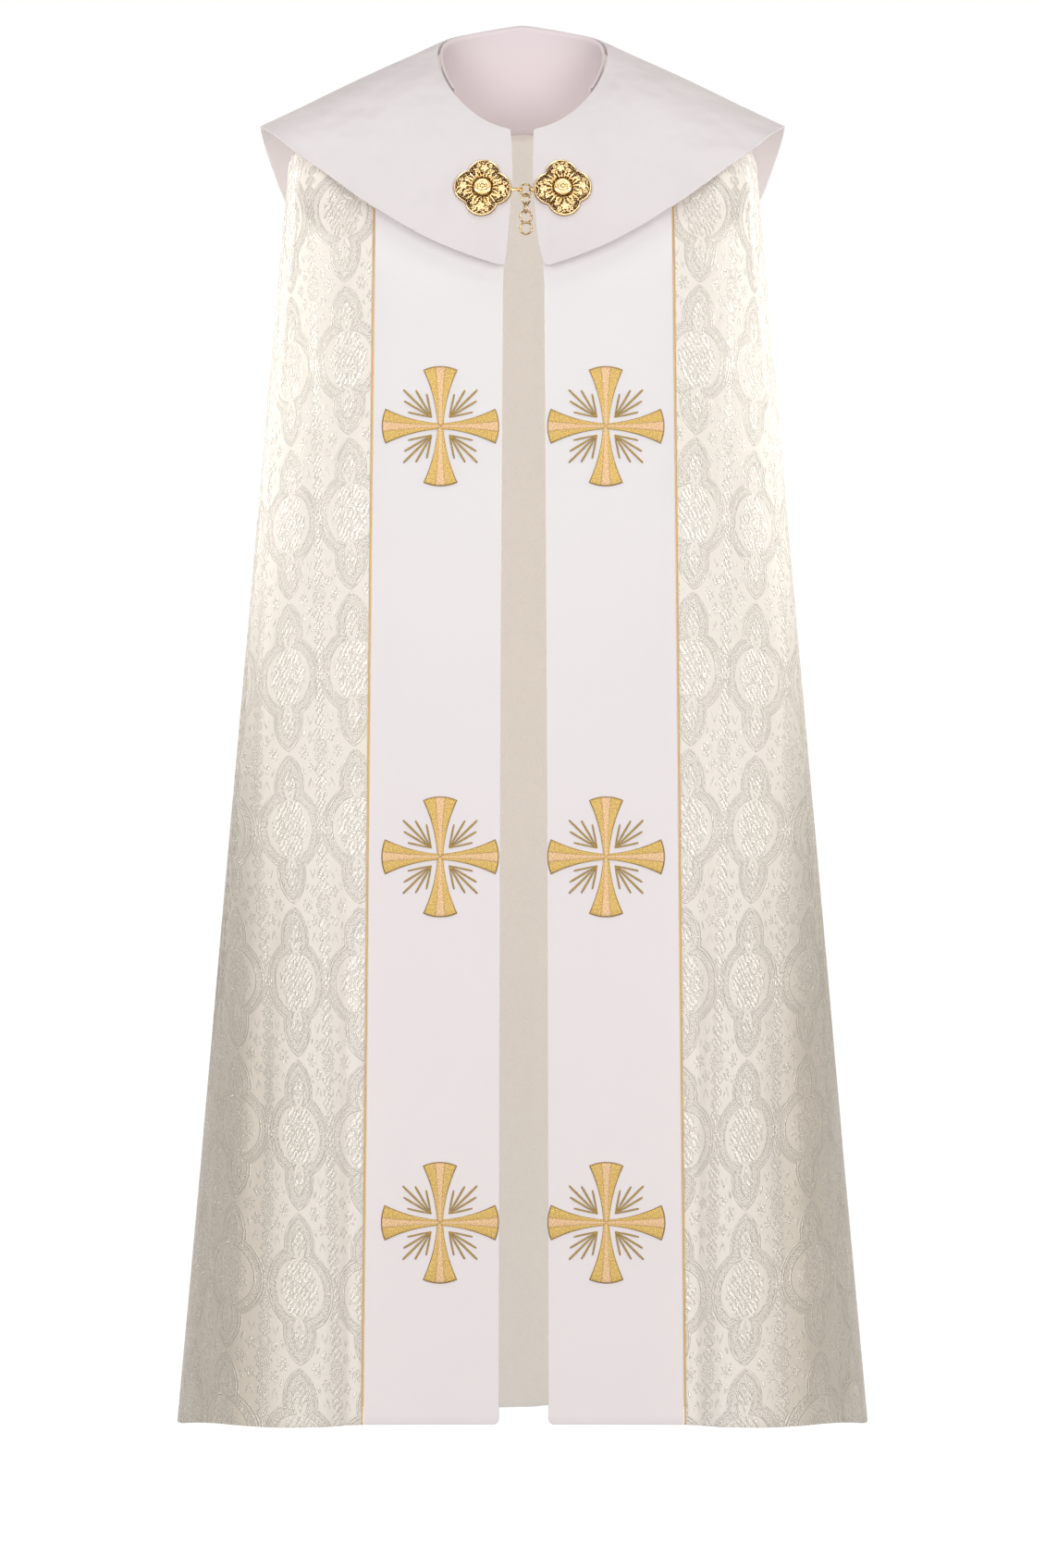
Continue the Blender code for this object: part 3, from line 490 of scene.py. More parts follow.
def noise(vec, scale, detail=2.0, rough=0.5, kind="3D"):
    node = E.tree.nodes.new("ShaderNodeTexNoise")
    node.noise_dimensions = kind
    node.inputs["Scale"].default_value = scale
    node.inputs["Detail"].default_value = detail
    node.inputs["Roughness"].default_value = rough
    E.tree.links.new(vec, node.inputs["Vector"])
    return E(node.outputs["Fac"])


def uv_of(name):
    node = E.tree.nodes.new("ShaderNodeUVMap")
    node.uv_map = name
    sep = E.tree.nodes.new("ShaderNodeSeparateXYZ")
    E.tree.links.new(node.outputs[0], sep.inputs[0])
    return E(sep.outputs[0]), E(sep.outputs[1])


def attr_of(name):
    node = E.tree.nodes.new("ShaderNodeAttribute")
    node.attribute_type = "GEOMETRY"
    node.attribute_name = name
    return E(node.outputs["Fac"])


def object_xyz():
    node = E.tree.nodes.new("ShaderNodeTexCoord")
    return node.outputs["Object"]


def new_material(name, rough=0.5, metal=0.0, sheen=0.0, sheen_rough=0.5, spec=0.5, aniso=0.0, sheen_tint=None):
    mat = bpy.data.materials.new(name)
    mat.use_nodes = True
    E.tree = mat.node_tree
    b = mat.node_tree.nodes["Principled BSDF"]
    b.inputs["Roughness"].default_value = rough
    b.inputs["Metallic"].default_value = metal
    b.inputs["Specular IOR Level"].default_value = spec
    b.inputs["Sheen Weight"].default_value = sheen
    b.inputs["Sheen Roughness"].default_value = sheen_rough
    b.inputs["Anisotropic"].default_value = aniso
    if sheen_tint:
        b.inputs["Sheen Tint"].default_value = (*sheen_tint, 1.0)
    return mat, b


def plug(value, socket):
    v = E(value).s
    if isinstance(v, (int, float)):
        socket.default_value = v
    else:
        E.tree.links.new(v, socket)


def bump(height, strength, distance, normal=None):
    node = E.tree.nodes.new("ShaderNodeBump")
    node.inputs["Strength"].default_value = strength
    node.inputs["Distance"].default_value = distance
    plug(height, node.inputs["Height"])
    if normal is not None:
        E.tree.links.new(normal, node.inputs["Normal"])
    return node.outputs[0]


# ================================================================ damask
CELL_W, CELL_H = 103.0, 167.0      # pattern repeat, in the cloth map's own millimetres


def damask_pattern():
    """Vine-bordered medallions with a rose, joined sideways by small flowers, with a flowering stem between
    their columns. Gives (figure, lines, hatch) from the cloth map, folded into one quarter of the repeat."""
    u, v = uv_of("cut")
    u, v = u * 1000.0, v * 1000.0
    x = vabs(u - vround(u / CELL_W) * CELL_W)                  # from the join column
    y = vabs(v - vround(v / CELL_H) * CELL_H)                  # from the join row
    mx = CELL_W / 2 - x                                        # from the medallion's axis
    r1 = vlen(mx, y * 1.10)
    r2 = vlen(mx + 14.0, y - 47.0)
    d1, d2 = r1 - 49.8, r2 - 37.5
    d = vmin(d1, d2)                                           # medallion outline: a round with a pointed lobe above and below
    # border lines
    lines = vmax(line_at(d, -0.8, 0.95), line_at(d, -4.3, 0.80))
    lines = vmax(lines, line_at(d, -12.9, 0.95))
    # vine in the border
    big = vless(d1, d2)
    along = vatan2(y, mx) * 46.0 * big + vatan2(y - 47.0, mx + 14.0) * 33.0 * (1.0 - big)
    t = (d + 8.3) * 0.27                                       # -1 .. 1 across the vine's band
    wave = vsin(along * 0.52)
    in_band = inside(d + 4.6, 0.3) * inside(-11.9 - d, 0.3)
    stem = ramp(vabs(t - wave * 0.62), 0.26, 0.08)
    leaf = ramp(vabs(t + wave * 0.45) * 1.6 + vabs(vcos(along * 0.52)) * 1.0, 0.82, 0.44)
    vein = ramp(vabs(vsin(along * 2.1 + t * 2.0)), 0.05, 0.45)
    vine = vmax(stem, leaf * (0.35 + vein * 0.65)) * in_band
    # rose in a bunch of leaves; everything that grows is pushed about a little so that no edge is plain
    push = noise(combine(mx * 0.19, y * 0.19), 1.0, 1.0, 0.5, "2D")
    push2 = noise(combine(mx * 0.19 + 31.0, y * 0.19 + 17.0), 1.0, 1.0, 0.5, "2D")
    wx_, wy_ = mx + (push - 0.5) * 7.0, y * 0.86 + (push2 - 0.5) * 7.0
    rr = vlen(wx_, wy_)
    th = vatan2(wy_, wx_)
    jag = vabs(vsin(th * 9.5)) * 3.6 + vsin(th * 31.0) * 0.9
    leaves = inside(rr - 21.0 - 4.5 * vabs(vcos(th * 3.0)) - jag, 0.6)
    petals = vmax(line_at(rr + vabs(vcos(th * 2.5)) * 2.6, 16.0, 0.8, 0.4), line_at(rr + vabs(vcos(th * 2.0 + 0.7)) * 2.2, 10.4, 0.75, 0.4))
    petals = vmax(petals, line_at(rr - th * 0.55, 4.2, 0.75, 0.4))
    ribs = ramp(vabs(push - 0.50) + vabs(vsin(th * 9.5)) * 0.05, 0.030, 0.004) * vmore(rr, 13.2)
    ribs = vmax(ribs, ramp(vabs(vcos(th * 3.0)), 0.12, 0.0) * vmore(rr, 13.6))
    rose = leaves * (1.0 - vmax(petals, ribs) * 0.85)
    # spray in the small rounds
    sy = vabs(y - 51.0)
    spray = inside(vabs(wx_) * 1.9 + sy - 15.0 - vabs(vsin(sy * 0.85)) * 3.6, 0.6)
    spray_v = vmax(ramp(vabs(mx - 0.35 * sy), 1.1, 0.3), ramp(vabs(push2 - 0.5), 0.03, 0.005))
    spray = spray * (1.0 - spray_v * 0.7)
    # small flower where two medallions touch
    rj = vlen(x, y)
    thj = vatan2(y, x)
    join = inside(rj - 7.4 - vcos(thj * 8.0) * 2.0, 0.5) * (1.0 - line_at(rj, 3.0, 0.45, 0.3) * 0.9)
    # stem of leaves between the columns, and what hangs beside it
    out = inside(1.6 - d, 0.5)
    tier = vabs(vsin((y - 4.0) * 0.238))
    wide = (1.2 + 6.2 * tier) * ramp(y, 9.0, 24.0, 0.35, 1.0)
    stem2 = inside(x + (push - 0.5) * 4.0 - wide - vabs(vsin(y * 1.05 + x * 0.4)) * 2.0, 0.5) * vmore(y, 10.5)
    stem2 = stem2 * (1.0 - ramp(vabs(vsin((y + x * 1.1) * 0.60 + push2 * 4.0)), 0.26, 0.04) * 0.75)
    yb = CELL_H / 2 - y                                        # from the middle between join rows
    rb = vlen(x, yb)
    thb = vatan2(yb, x)
    # rosette: a ring of eight beads round a flower
    bead_a = thb - vround(thb / 0.7854) * 0.7854
    bead = vlen(rb * vcos(bead_a) - 8.6, rb * vsin(bead_a))
    ros = vmax(inside(bead - 2.9, 0.35), inside(rb - 4.6, 0.4))
    ros_cut = vmax(inside(bead - 1.5, 0.35), line_at(rb, 2.6, 0.5, 0.3))
    clear = inside(11.6 - rb, 0.4)
    sx = x - 27.0
    rs = vlen(sx, yb)
    ths = vatan2(yb, sx)
    daisy = inside(rs - 6.2 - vcos(ths * 7.0) * 2.2, 0.5) * (1.0 - line_at(rs, 2.4, 0.5, 0.3) * 0.9)
    bx, by = x - 15.5, yb - 15.5
    rbl = vlen(bx, by)
    bud = inside(rbl - 5.4 - vcos(vatan2(by, bx) * 5.0) * 1.3, 0.5) * (1.0 - line_at(rbl, 2.0, 0.45, 0.3) * 0.8)
    vx, vy = x - 16.0, yb - 33.5
    sprig = inside(vabs(vabs(vx) - (vy + 4.5) * 0.42) * 1.6 + vabs(vy) * 0.32 - 1.9, 0.4)
    sx2, sy3 = x - 26.0, yb - 21.0
    sprig2 = inside(vlen(sx2 + 0.35 * sy3, sy3 * 0.42) - 1.7, 0.4)
    free = vmax(vmax(stem2 * clear, ros * (1.0 - ros_cut * 0.9)), vmax(daisy, bud))
    free = vmax(free, vmax(sprig, sprig2)) * out
    figure = vmax(vmax(lines, vine), vmax(rose * inside(d1 + 14.5, 0.5), spray * inside(d2 + 14.0, 0.5)))
    figure = vmax(vmax(figure, join), free)
    # fine diagonal ribs of the woven figure
    drift = noise(combine(u * 0.12, v * 0.12, 9.0), 1.0, 1.0, 0.5)
    hatch = vsin((u + v * 0.62) * 2.45 + drift * 9.0) * (0.45 + 0.55 * vsin((u - v * 0.80) * 0.9 + drift * 7.0))
    return figure, lines, vine, hatch, u, v


def axes_of(vector):
    """The x and z parts of a vector."""
    node = E.tree.nodes.new("ShaderNodeSeparateXYZ")
    E.tree.links.new(vector, node.inputs[0])
    return E(node.outputs[0]), E(node.outputs[2])


def mulc3(col, tint):
    """A colour multiplied by a fixed tint."""
    node = E.tree.nodes.new("ShaderNodeMix")
    node.data_type = "RGBA"
    node.blend_type = "MULTIPLY"
    node.inputs[0].default_value = 1.0
    E.tree.links.new(col, node.inputs[6])
    node.inputs[7].default_value = (*tint, 1.0)
    return node.outputs[2]


def damask_material(name, shade=1.0, inner=False):
    mat, b = new_material(name, rough=0.45, sheen=0.10 if inner else 0.12, sheen_rough=0.45, spec=0.42)
    xyz = object_xyz()
    figure, lines, vine, hatch, u, v = damask_pattern()
    cloud = noise(xyz, 3.2, 2.0)
    grain = noise(combine(u * 0.9, v * 0.45), 1.1, 2.0, 0.65)
    speck = noise(combine(u * 0.8, v * 0.8, 7.0), 1.6, 1.0, 0.5)
    ground = mixc(ramp(cloud, 0.3, 0.7), (0.846 * shade, 0.796 * shade, 0.722 * shade),
                  (0.866 * shade, 0.816 * shade, 0.752 * shade))
    fig_col = mixc(ramp(speck, 0.35, 0.65), (0.755 * shade, 0.712 * shade, 0.645 * shade),
                   (0.880 * shade, 0.836 * shade, 0.772 * shade))
    if inner:
        # painted light: the reverse face glows, standing in for light through the cloth and lifting the shade inside
        # the garment
        b.inputs["Emission Color"].default_value = (1.0, 0.965, 0.93, 1.0)
        b.inputs["Emission Strength"].default_value = 0.245
        col = mixc(figure * 0.55, fig_col, ground)
    else:
        col = mixc(vmax(figure * 0.84 - lines * 0.62 - vine * 0.34, 0.0), ground, fig_col)
    col = mulc(col, madd(grain, 0.16, 0.92))
    if not inner:                              # painted shade: the colour is made deeper and warmer where the cloth turns into the low side folds, standing in for the shade there
        px, pz = axes_of(xyz)
        turn = ramp(vabs(px), 0.215, 0.300) * ramp(pz, -0.45, -1.15)
        col = mixc(turn, col, mulc3(col, (0.900, 0.868, 0.812)))
    E.tree.links.new(col, b.inputs["Base Color"])
    if not inner:
        plug(madd(figure, 0.24, 0.0), b.inputs["Metallic"])
        plug(madd(figure, -0.27, 0.50) + (grain - 0.5) * 0.10, b.inputs["Roughness"])
    else:
        plug(madd(grain, 0.10, 0.50), b.inputs["Roughness"])
    h = figure * 0.70 + lines * 0.60 + hatch * figure * 0.42 + (grain - 0.5) * 0.26
    n = bump(h, 0.85 if not inner else 0.25, 0.0010)
    E.tree.links.new(n, b.inputs["Normal"])
    return mat


def satin_material(name, top, low, z_top, z_low, rough=0.46, mottled=0.03, sheen=0.25, glow=0.0, waves=0.0):
    """Smooth satin: colour drifts from top to low over the height, with a fine weft and soft clouds."""
    mat, b = new_material(name, rough=rough, sheen=sheen, sheen_rough=0.4, spec=0.32)
    if glow:                                   # painted light: an even glow standing in for light that comes through the cloth
        b.inputs["Emission Color"].default_value = (*top, 1.0)
        b.inputs["Emission Strength"].default_value = glow
    xyz = object_xyz()
    sep = E.tree.nodes.new("ShaderNodeSeparateXYZ")
    E.tree.links.new(xyz, sep.inputs[0])
    z = E(sep.outputs[2])
    u, v = uv_of("cut")
    u, v = u * 1000.0, v * 1000.0
    cloud = noise(xyz, 9.0, 3.0, 0.55)
    grain = noise(combine(u * 0.9, v * 1.6), 0.9, 2.0, 0.6)
    slub = noise(combine(u * 0.10, v * 1.3), 1.0, 2.0, 0.6)
    col = mixc(ramp(z, z_top, z_low), top, low)
    k = 1.0 + (cloud - 0.5) * mottled * 2.0 + (grain - 0.5) * 0.035 + (slub - 0.5) * 0.02
    col = mulc(col, k)
    E.tree.links.new(col, b.inputs["Base Color"])
    plug(rough + (grain - 0.5) * 0.10, b.inputs["Roughness"])
    h = grain * 0.6 + slub * 0.4 + vsin(v * 14.0) * 0.05
    under = None
    if waves:                                  # soft ripples of the cloth, a few centimetres across
        under = bump(noise(xyz, 17.0, 2.0, 0.45), waves, 0.010)
    n = bump(h, 0.30, 0.0003, under)
    E.tree.links.new(n, b.inputs["Normal"])
    return mat


# ================================================================ mesh helpers
def link(ob):
    scene.collection.objects.link(ob)
    return ob


def cloth_shell(name, p, cut, thick, mats, node, bevel=0.0006):
    """Thin closed shell: p is a grid of its outer face, cut its cloth map (metres), mats outer and inner finish."""
    rows, cols = p.shape[:2]
    idx = np.arange(rows * cols).reshape(rows, cols)
    quads = np.stack([idx[:-1, :-1], idx[:-1, 1:], idx[1:, 1:], idx[1:, :-1]], axis=-1).reshape(-1, 4)
    me = bpy.data.meshes.new(name)
    me.from_pydata(p.reshape(-1, 3).tolist(), [], quads.tolist())
    uv = me.uv_layers.new(name="cut")
    loops = np.zeros(len(me.loops), dtype=np.int32)
    me.loops.foreach_get("vertex_index", loops)
    uv.data.foreach_set("uv", cut.reshape(-1, 2)[loops].astype(np.float32).ravel())
    for m in mats:
        me.materials.append(m)
    me.shade_smooth()
    ob = link(bpy.data.objects.new(name, me))
    mod = ob.modifiers.new("wall", "SOLIDIFY")
    mod.thickness = thick
    mod.offset = -1.0
    mod.use_even_offset = True
    if len(mats) > 1:
        mod.material_offset = 1
    if bevel:
        bev = ob.modifiers.new("edge", "BEVEL")
        bev.width = bevel
        bev.segments = 2
        bev.limit_method = "ANGLE"
        bev.angle_limit = math.radians(65)
    if node:
        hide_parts(node)
    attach(ob, "garment")
    return ob


def mesh_object(name, verts, faces, mat, body, node, smooth_shade=True, uvs=None, attrs=None):
    me = bpy.data.meshes.new(name)
    me.from_pydata([tuple(map(float, v)) for v in verts], [], [list(map(int, f)) for f in faces])
    if uvs:
        loops = np.zeros(len(me.loops), dtype=np.int32)
        me.loops.foreach_get("vertex_index", loops)
        for key, data in uvs.items():
            layer = me.uv_layers.new(name=key)
            layer.data.foreach_set("uv", np.asarray(data, dtype=np.float32)[loops].ravel())
    if attrs:
        for key, data in attrs.items():
            layer = me.attributes.new(key, "FLOAT", "POINT")
            layer.data.foreach_set("value", np.asarray(data, dtype=np.float32))
    mats = mat if isinstance(mat, (list, tuple)) else [mat]
    for m in mats:
        me.materials.append(m)
    if smooth_shade:
        me.shade_smooth()
    ob = link(bpy.data.objects.new(name, me))
    if node:
        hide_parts(*([node] if isinstance(node, str) else node))
    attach(ob, body)
    return ob


# ================================================================ camera, light, floor
cam_data = bpy.data.cameras.new("camera")
cam = link(bpy.data.objects.new("camera", cam_data))
cam.location = (0.0, -CAM_DIST, CAM_Z)
cam.rotation_euler = (math.pi / 2, 0.0, 0.0)
cam_data.sensor_fit = "AUTO"
cam_data.sensor_width = 36.0
cam_data.lens = 36.0 * CAM_DIST / FRAME_H
cam_data.clip_end = 60.0
scene.camera = cam
scene.view_settings.view_transform = "Standard"
scene.view_settings.look = "None"
scene.view_settings.exposure = 0.0
scene.view_settings.gamma = 1.0


def area_light(name, at, to, size, power, colour=(1, 1, 1), spread=180.0):
    data = bpy.data.lights.new(name, "AREA")
    data.spread = math.radians(spread)
    data.shape = "RECTANGLE"
    data.size, data.size_y = size
    data.energy = power
    data.color = colour
    ob = link(bpy.data.objects.new(name, data))
    ob.location = at
    ob.rotation_euler = (Vector(to) - Vector(at)).to_track_quat("-Z", "Y").to_euler()
    return ob


KEY = 66
area_light("side_left", (-1.05, -0.17, -0.31), (-0.24, -0.05, -0.35), (0.3, 0.4), 0.95, (1.0, 0.985, 0.96), 78)
area_light("side_right", (1.05, -0.17, -0.31), (0.24, -0.05, -0.35), (0.3, 0.4), 0.95, (1.0, 0.985, 0.96), 78)
area_light("key_left", (-2.3, -4.3, 0.25), (-0.05, -0.1, -0.80), (1.1, 2.8), KEY, (1.0, 0.99, 0.98))
area_light("key_right", (2.3, -4.3, 0.25), (0.05, -0.1, -0.80), (1.1, 2.8), KEY, (1.0, 0.99, 0.98))
area_light("top", (0.0, -0.9, 3.0), (0.0, 0.0, -0.6), (2.6, 1.6), 30)
area_light("back_left", (-2.6, 3.4, 1.0), (0, 0.1, -0.7), (1.2, 2.2), 55)
area_light("back_right", (2.6, 3.4, 1.0), (0, 0.1, -0.7), (1.2, 2.2), 55)

world = bpy.data.worlds.new("studio")
scene.world = world
world.use_nodes = True
wt = world.node_tree
wt.nodes.clear()
E.tree = wt
geo = wt.nodes.new("ShaderNodeTexCoord")
sep = wt.nodes.new("ShaderNodeSeparateXYZ")
wt.links.new(geo.outputs["Generated"], sep.inputs[0])
wx, wy, wz = E(sep.outputs[0]), E(sep.outputs[1]), E(sep.outputs[2])
front = ramp(wy, 0.35, -0.95)                                # brighter studio side behind the camera
amb = 0.10 + front * 0.41 + ramp(wz, -0.2, 0.9) * 0.09
flags = vsin(wx * 9.0 + 0.7) + vsin(wz * 11.0 + 1.1) * 0.9   # bright cards and dark gaps, for the metal only
cards = (0.04 + 1.85 * ramp(flags, -0.15, 0.55)) * ramp(wy, 0.55, -0.55, 0.35, 1.0)
path = wt.nodes.new("ShaderNodeLightPath")
seen = E(path.outputs["Is Camera Ray"])
gloss = E(path.outputs["Is Glossy Ray"])
strength = seen * 1.02 + (1.0 - seen) * (gloss * cards + (1.0 - gloss) * amb)
bg = wt.nodes.new("ShaderNodeBackground")
warm = mixc(seen, mixc(front, (1.0, 0.87, 0.70), (0.985, 0.99, 1.0)), (1.0, 1.0, 1.0))
wt.links.new(warm, bg.inputs["Color"])
plug(strength, bg.inputs["Strength"])
wout = wt.nodes.new("ShaderNodeOutputWorld")
wt.links.new(bg.outputs[0], wout.inputs["Surface"])

floor_mat, fb = new_material("floor", rough=0.85, spec=0.1)
fb.inputs["Base Color"].default_value = (0.02, 0.02, 0.02, 1.0)
fb.inputs["Emission Color"].default_value = (1.0, 1.0, 1.0, 1.0)
fb.inputs["Emission Strength"].default_value = 1.03
fm = bpy.data.meshes.new("floor")
steps = 64
fv = [(0.0, 0.0, FLOOR_Z)] + [(14 * math.cos(2 * math.pi * i / steps), 14 * math.sin(2 * math.pi * i / steps), FLOOR_Z)
                              for i in range(steps)]
fm.from_pydata(fv, [], [(0, 1 + i, 1 + (i + 1) % steps) for i in range(steps)])
fm.materials.append(floor_mat)
floor = link(bpy.data.objects.new("floor", fm))
floor.visible_diffuse = False

# ================================================================ body cloth
N_SHOULDER, N_FALL = 24, 150
W_ROWS = list(np.linspace(0.0, 1.0, N_SHOULDER)) + list(1.0 + 3.0 * np.linspace(0, 1, N_FALL)[1:])
FR = {
    "band_r": np.concatenate([[0.0, 0.006, 0.018, 0.036], np.linspace(0.07, 0.96, 22), [0.99, 1.0]]),
    "front_r": np.linspace(0.0, 1.0, 100),
    "back": np.linspace(0.0, 1.0, 268),
    "front_l": np.linspace(0.0, 1.0, 100),
}
FR["band_l"] = 1.0 - FR["band_r"][::-1]
rings = [ring(w, FR) for w in W_ROWS]
G = {name: np.array([r[name] for r in rings]) for name in SECTIONS}

PX = 0.001                       # one map unit at the middle plane


def picture_x(p):
    """Where a point stands across the picture plane through the middle, in mm from the centre."""
    return p[..., 0] * CAM_DIST / (CAM_DIST + p[..., 1]) * 1000.0


def picture_y(p):
    """Height of a point on the same plane, in mm down from 75 mm above the origin."""
    return 75.0 - 1000.0 * (CAM_Z + (p[..., 2] - CAM_Z) * CAM_DIST / (CAM_DIST + p[..., 1]))


# how the pattern's columns stand across the picture plane: height, then mm from the centre of the medallions by the
# piping, the join column, and the medallions and joins that follow outward; last, how far the rows drop per column
COLUMNS = [
    (230.0, 194.0, 230.3, 248.0, 259.0, 268.0, 4.0),
    (397.0, 188.7, 224.4, 249.5, 264.5, 276.0, 6.5),
    (563.0, 186.7, 221.4, 250.0, 274.0, 290.0, 6.0),
    (735.0, 184.5, 219.1, 254.5, 285.0, 305.0, 5.0),
    (897.0, 178.0, 217.9, 250.3, 287.0, 312.0, 1.0),
    (1066.0, 174.0, 213.7, 243.0, 275.0, 308.7, -1.5),
    (1230.0, 171.5, 209.1, 241.5, 272.0, 306.0, -4.0),
    (1390.0, 168.0, 204.5, 241.7, 276.0, 318.0, -6.5),
    (1545.0, 166.0, 199.0, 240.0, 280.0, 325.0, -7.0),
]
ROW_ZERO, ROW_STEP = -0.1690, 0.16235          # height of the first join row and their spacing
HALF_ON = 0.0460                               # width of half a repeat once it is out of sight


def cut_front(p, side):
    """Cloth map of a front: u from the join column outward, v from the first join row."""
    s = arc(p, 1)
    s_out = s if side < 0 else s[:, -1:] - s
    px, py = np.abs(picture_x(p)), picture_y(p)
    if side > 0:
        px, py, s_out = px[:, ::-1], py[:, ::-1], s_out[:, ::-1]
    table = np.array(COLUMNS)
    knots = np.zeros((len(p), 5))
    drops = np.zeros(len(p))
    for i in range(len(p)):
        y = float(np.mean(py[i, :40]))
        far = int(np.argmax(px[i]))
        run = px[i, :far + 1]
        sr = s_out[i, :far + 1]
        prev = None
        for k in range(5):
            want = float(np.interp(y, table[:, 0], table[:, 1 + k]))
            if run[0] < want < run[-1] - 1.0:
                prev = float(np.interp(want, np.maximum.accumulate(run), sr))
            else:
                prev = None if prev is None else prev + HALF_ON
            knots[i, k] = np.nan if prev is None else prev
        if np.isnan(knots[i, 0]) and not np.isnan(knots[i, 1]):
            knots[i, 0] = knots[i, 1] - 0.043
        drops[i] = float(np.interp(y, table[:, 0], table[:, 6])) / 1000.0
    for k in range(5):                          # rows where a column can't be placed take the nearest row's place
        good = np.where(~np.isnan(knots[:, k]))[0]
        knots[:, k] = np.interp(np.arange(len(p)), good, knots[good, k])
    for k in range(1, 5):
        knots[:, k] = np.maximum(knots[:, k], knots[:, k - 1] + 0.022)
    half = 12
    kern = np.hanning(2 * half + 3)[1:-1]
    kern /= kern.sum()
    for k in range(5):
        col = knots[:, k]
        col = np.concatenate([np.full(half, col[0]), col, np.full(half, col[-1])])
        knots[:, k] = np.convolve(col, kern, mode="valid")
    u = np.zeros(s_out.shape)
    cell = CELL_W / 2000.0
    kern2 = np.hanning(11)[1:-1]
    kern2 /= kern2.sum()
    for i in range(len(p)):
        kn = np.concatenate([[knots[i, 0] - 0.043 * 3], knots[i], [knots[i, -1] + HALF_ON * 12]])
        vals = cell * np.array([-4, -1, 0, 1, 2, 3, 15])
        line = np.interp(s_out[i], kn, vals)
        step0, step1 = line[1] - line[0], line[-1] - line[-2]
        long = np.concatenate([line[0] - step0 * np.arange(4, 0, -1), line, line[-1] + step1 * np.arange(1, 5)])
        u[i] = np.convolve(long, kern2, mode="valid")
    if side > 0:
        u = u[:, ::-1]
    columns = np.clip(u / cell, -1.5, 4.0)
    drop = columns * drops[:, None] / 1.0
    cut = np.zeros(p.shape[:2] + (2,))
    cut[..., 0] = u
    cut[..., 1] = (ROW_ZERO - (p[..., 2] + drop)) / ROW_STEP * CELL_H / 1000.0
    return cut


def cut_back(p):
    s = arc(p, 1)
    mid = s[:, s.shape[1] // 2][:, None]
    u = (s - mid) / 0.985
    drop = (u * 0.973) ** 2 / (2 * 2.2)
    cut = np.zeros(p.shape[:2] + (2,))
    cut[..., 0] = u + CELL_W / 2000.0
    cut[..., 1] = (ROW_ZERO - (p[..., 2] - 0.02 + drop)) / ROW_STEP * CELL_H / 1000.0
    return cut


def cut_plain(p):
    cut = np.zeros(p.shape[:2] + (2,))
    cut[..., 0] = arc(p, 1)
    cut[..., 1] = arc(p, 0)
    return cut


# long soft creases of the fronts: heights, place across the middle plane (mm from the centre) at both ends, depth,
# half width
FRONT_CREASES = {
    "front_r": [
        (-0.300, -0.860, 224.0, 231.0, -0.0019, 9.0),
        (-0.560, -0.800, 272.0, 279.0, 0.0016, 7.0),
        (-0.480, -1.160, 207.0, 216.0, 0.0012, 6.0),
        (-0.760, -1.300, 262.0, 292.0, -0.0020, 11.0),
        (-1.150, -1.470, 341.5, 352.0, -0.0034, 4.2),
        (-1.000, -1.470, 300.0, 311.0, 0.0018, 12.0),
        (-0.720, -1.470, 192.0, 183.5, -0.0042, 8.5),
        (-0.800, -1.470, 214.0, 215.0, 0.0030, 9.0),
    ],
    "front_l": [
        (-0.330, -0.900, 226.0, 232.0, -0.0018, 9.5),
        (-0.540, -0.830, 270.0, 278.0, 0.0015, 7.5),
        (-0.500, -1.120, 206.0, 215.0, 0.0013, 6.0),
        (-0.800, -1.330, 264.0, 290.0, -0.0019, 11.0),
        (-1.130, -1.470, 340.5, 351.0, -0.0036, 4.2),
        (-1.040, -1.470, 298.0, 309.0, 0.0017, 12.0),
        (-0.770, -1.470, 191.0, 184.0, -0.0040, 8.8),
        (-0.740, -1.470, 213.0, 216.0, 0.0029, 9.4),
    ],
}
BACK_CREASES = [
    # from z   to z    at(from) at(to)  depth    width
    (-0.34, -0.95, 0.240, 0.262, -0.0030, 0.012),
    (-0.42, -1.30, 0.352, 0.330, -0.0034, 0.011),
    (-0.36, -0.78, 0.440, 0.452, 0.0026, 0.013),
    (-0.50, -1.47, 0.520, 0.508, -0.0036, 0.011),
    (-0.34, -1.02, 0.618, 0.640, -0.0028, 0.012),
    (-0.60, -1.47, 0.715, 0.722, 0.0032, 0.013),
    (-0.38, -0.88, 0.800, 0.782, -0.0026, 0.012),
    (-0.85, -1.47, 0.136, 0.142, 0.0030, 0.012),
    (-0.95, -1.47, 0.884, 0.880, 0.0028, 0.011),
]


def add_creases(p, table, by_place=False):
    n = grid_normals(p)
    s = arc(p, 1)
    f = s / s[:, -1:]
    where = np.abs(picture_x(p)) if by_place else f
    z = p[..., 2]
    move = np.zeros(z.shape)
    for z0, z1, f0, f1, depth, width in table:
        t = np.clip((z - z0) / (z1 - z0), 0, 1)
        at = f0 + (f1 - f0) * t
        fade = np.clip(t / 0.35, 0, 1) ** 2 * (3 - 2 * np.clip(t / 0.35, 0, 1))
        if z1 > -1.42:
            fade = fade * np.clip((1 - t) / 0.35, 0, 1)
        move += depth * fade * np.exp(-((where - at) / width) ** 2)
    edge = np.clip(np.minimum(f, 1 - f) / 0.04, 0, 1)
    return p + n * (move * edge)[..., None]


probe = grid_normals(G["front_r"])
if probe[60, 20, 1] > 0:
    ORIENT = -1.0
else:
    ORIENT = 1.0


def outward(p, table, by_place=False):
    return add_creases(p, [(a, b, c, d, e * ORIENT, g) for a, b, c, d, e, g in table], by_place)


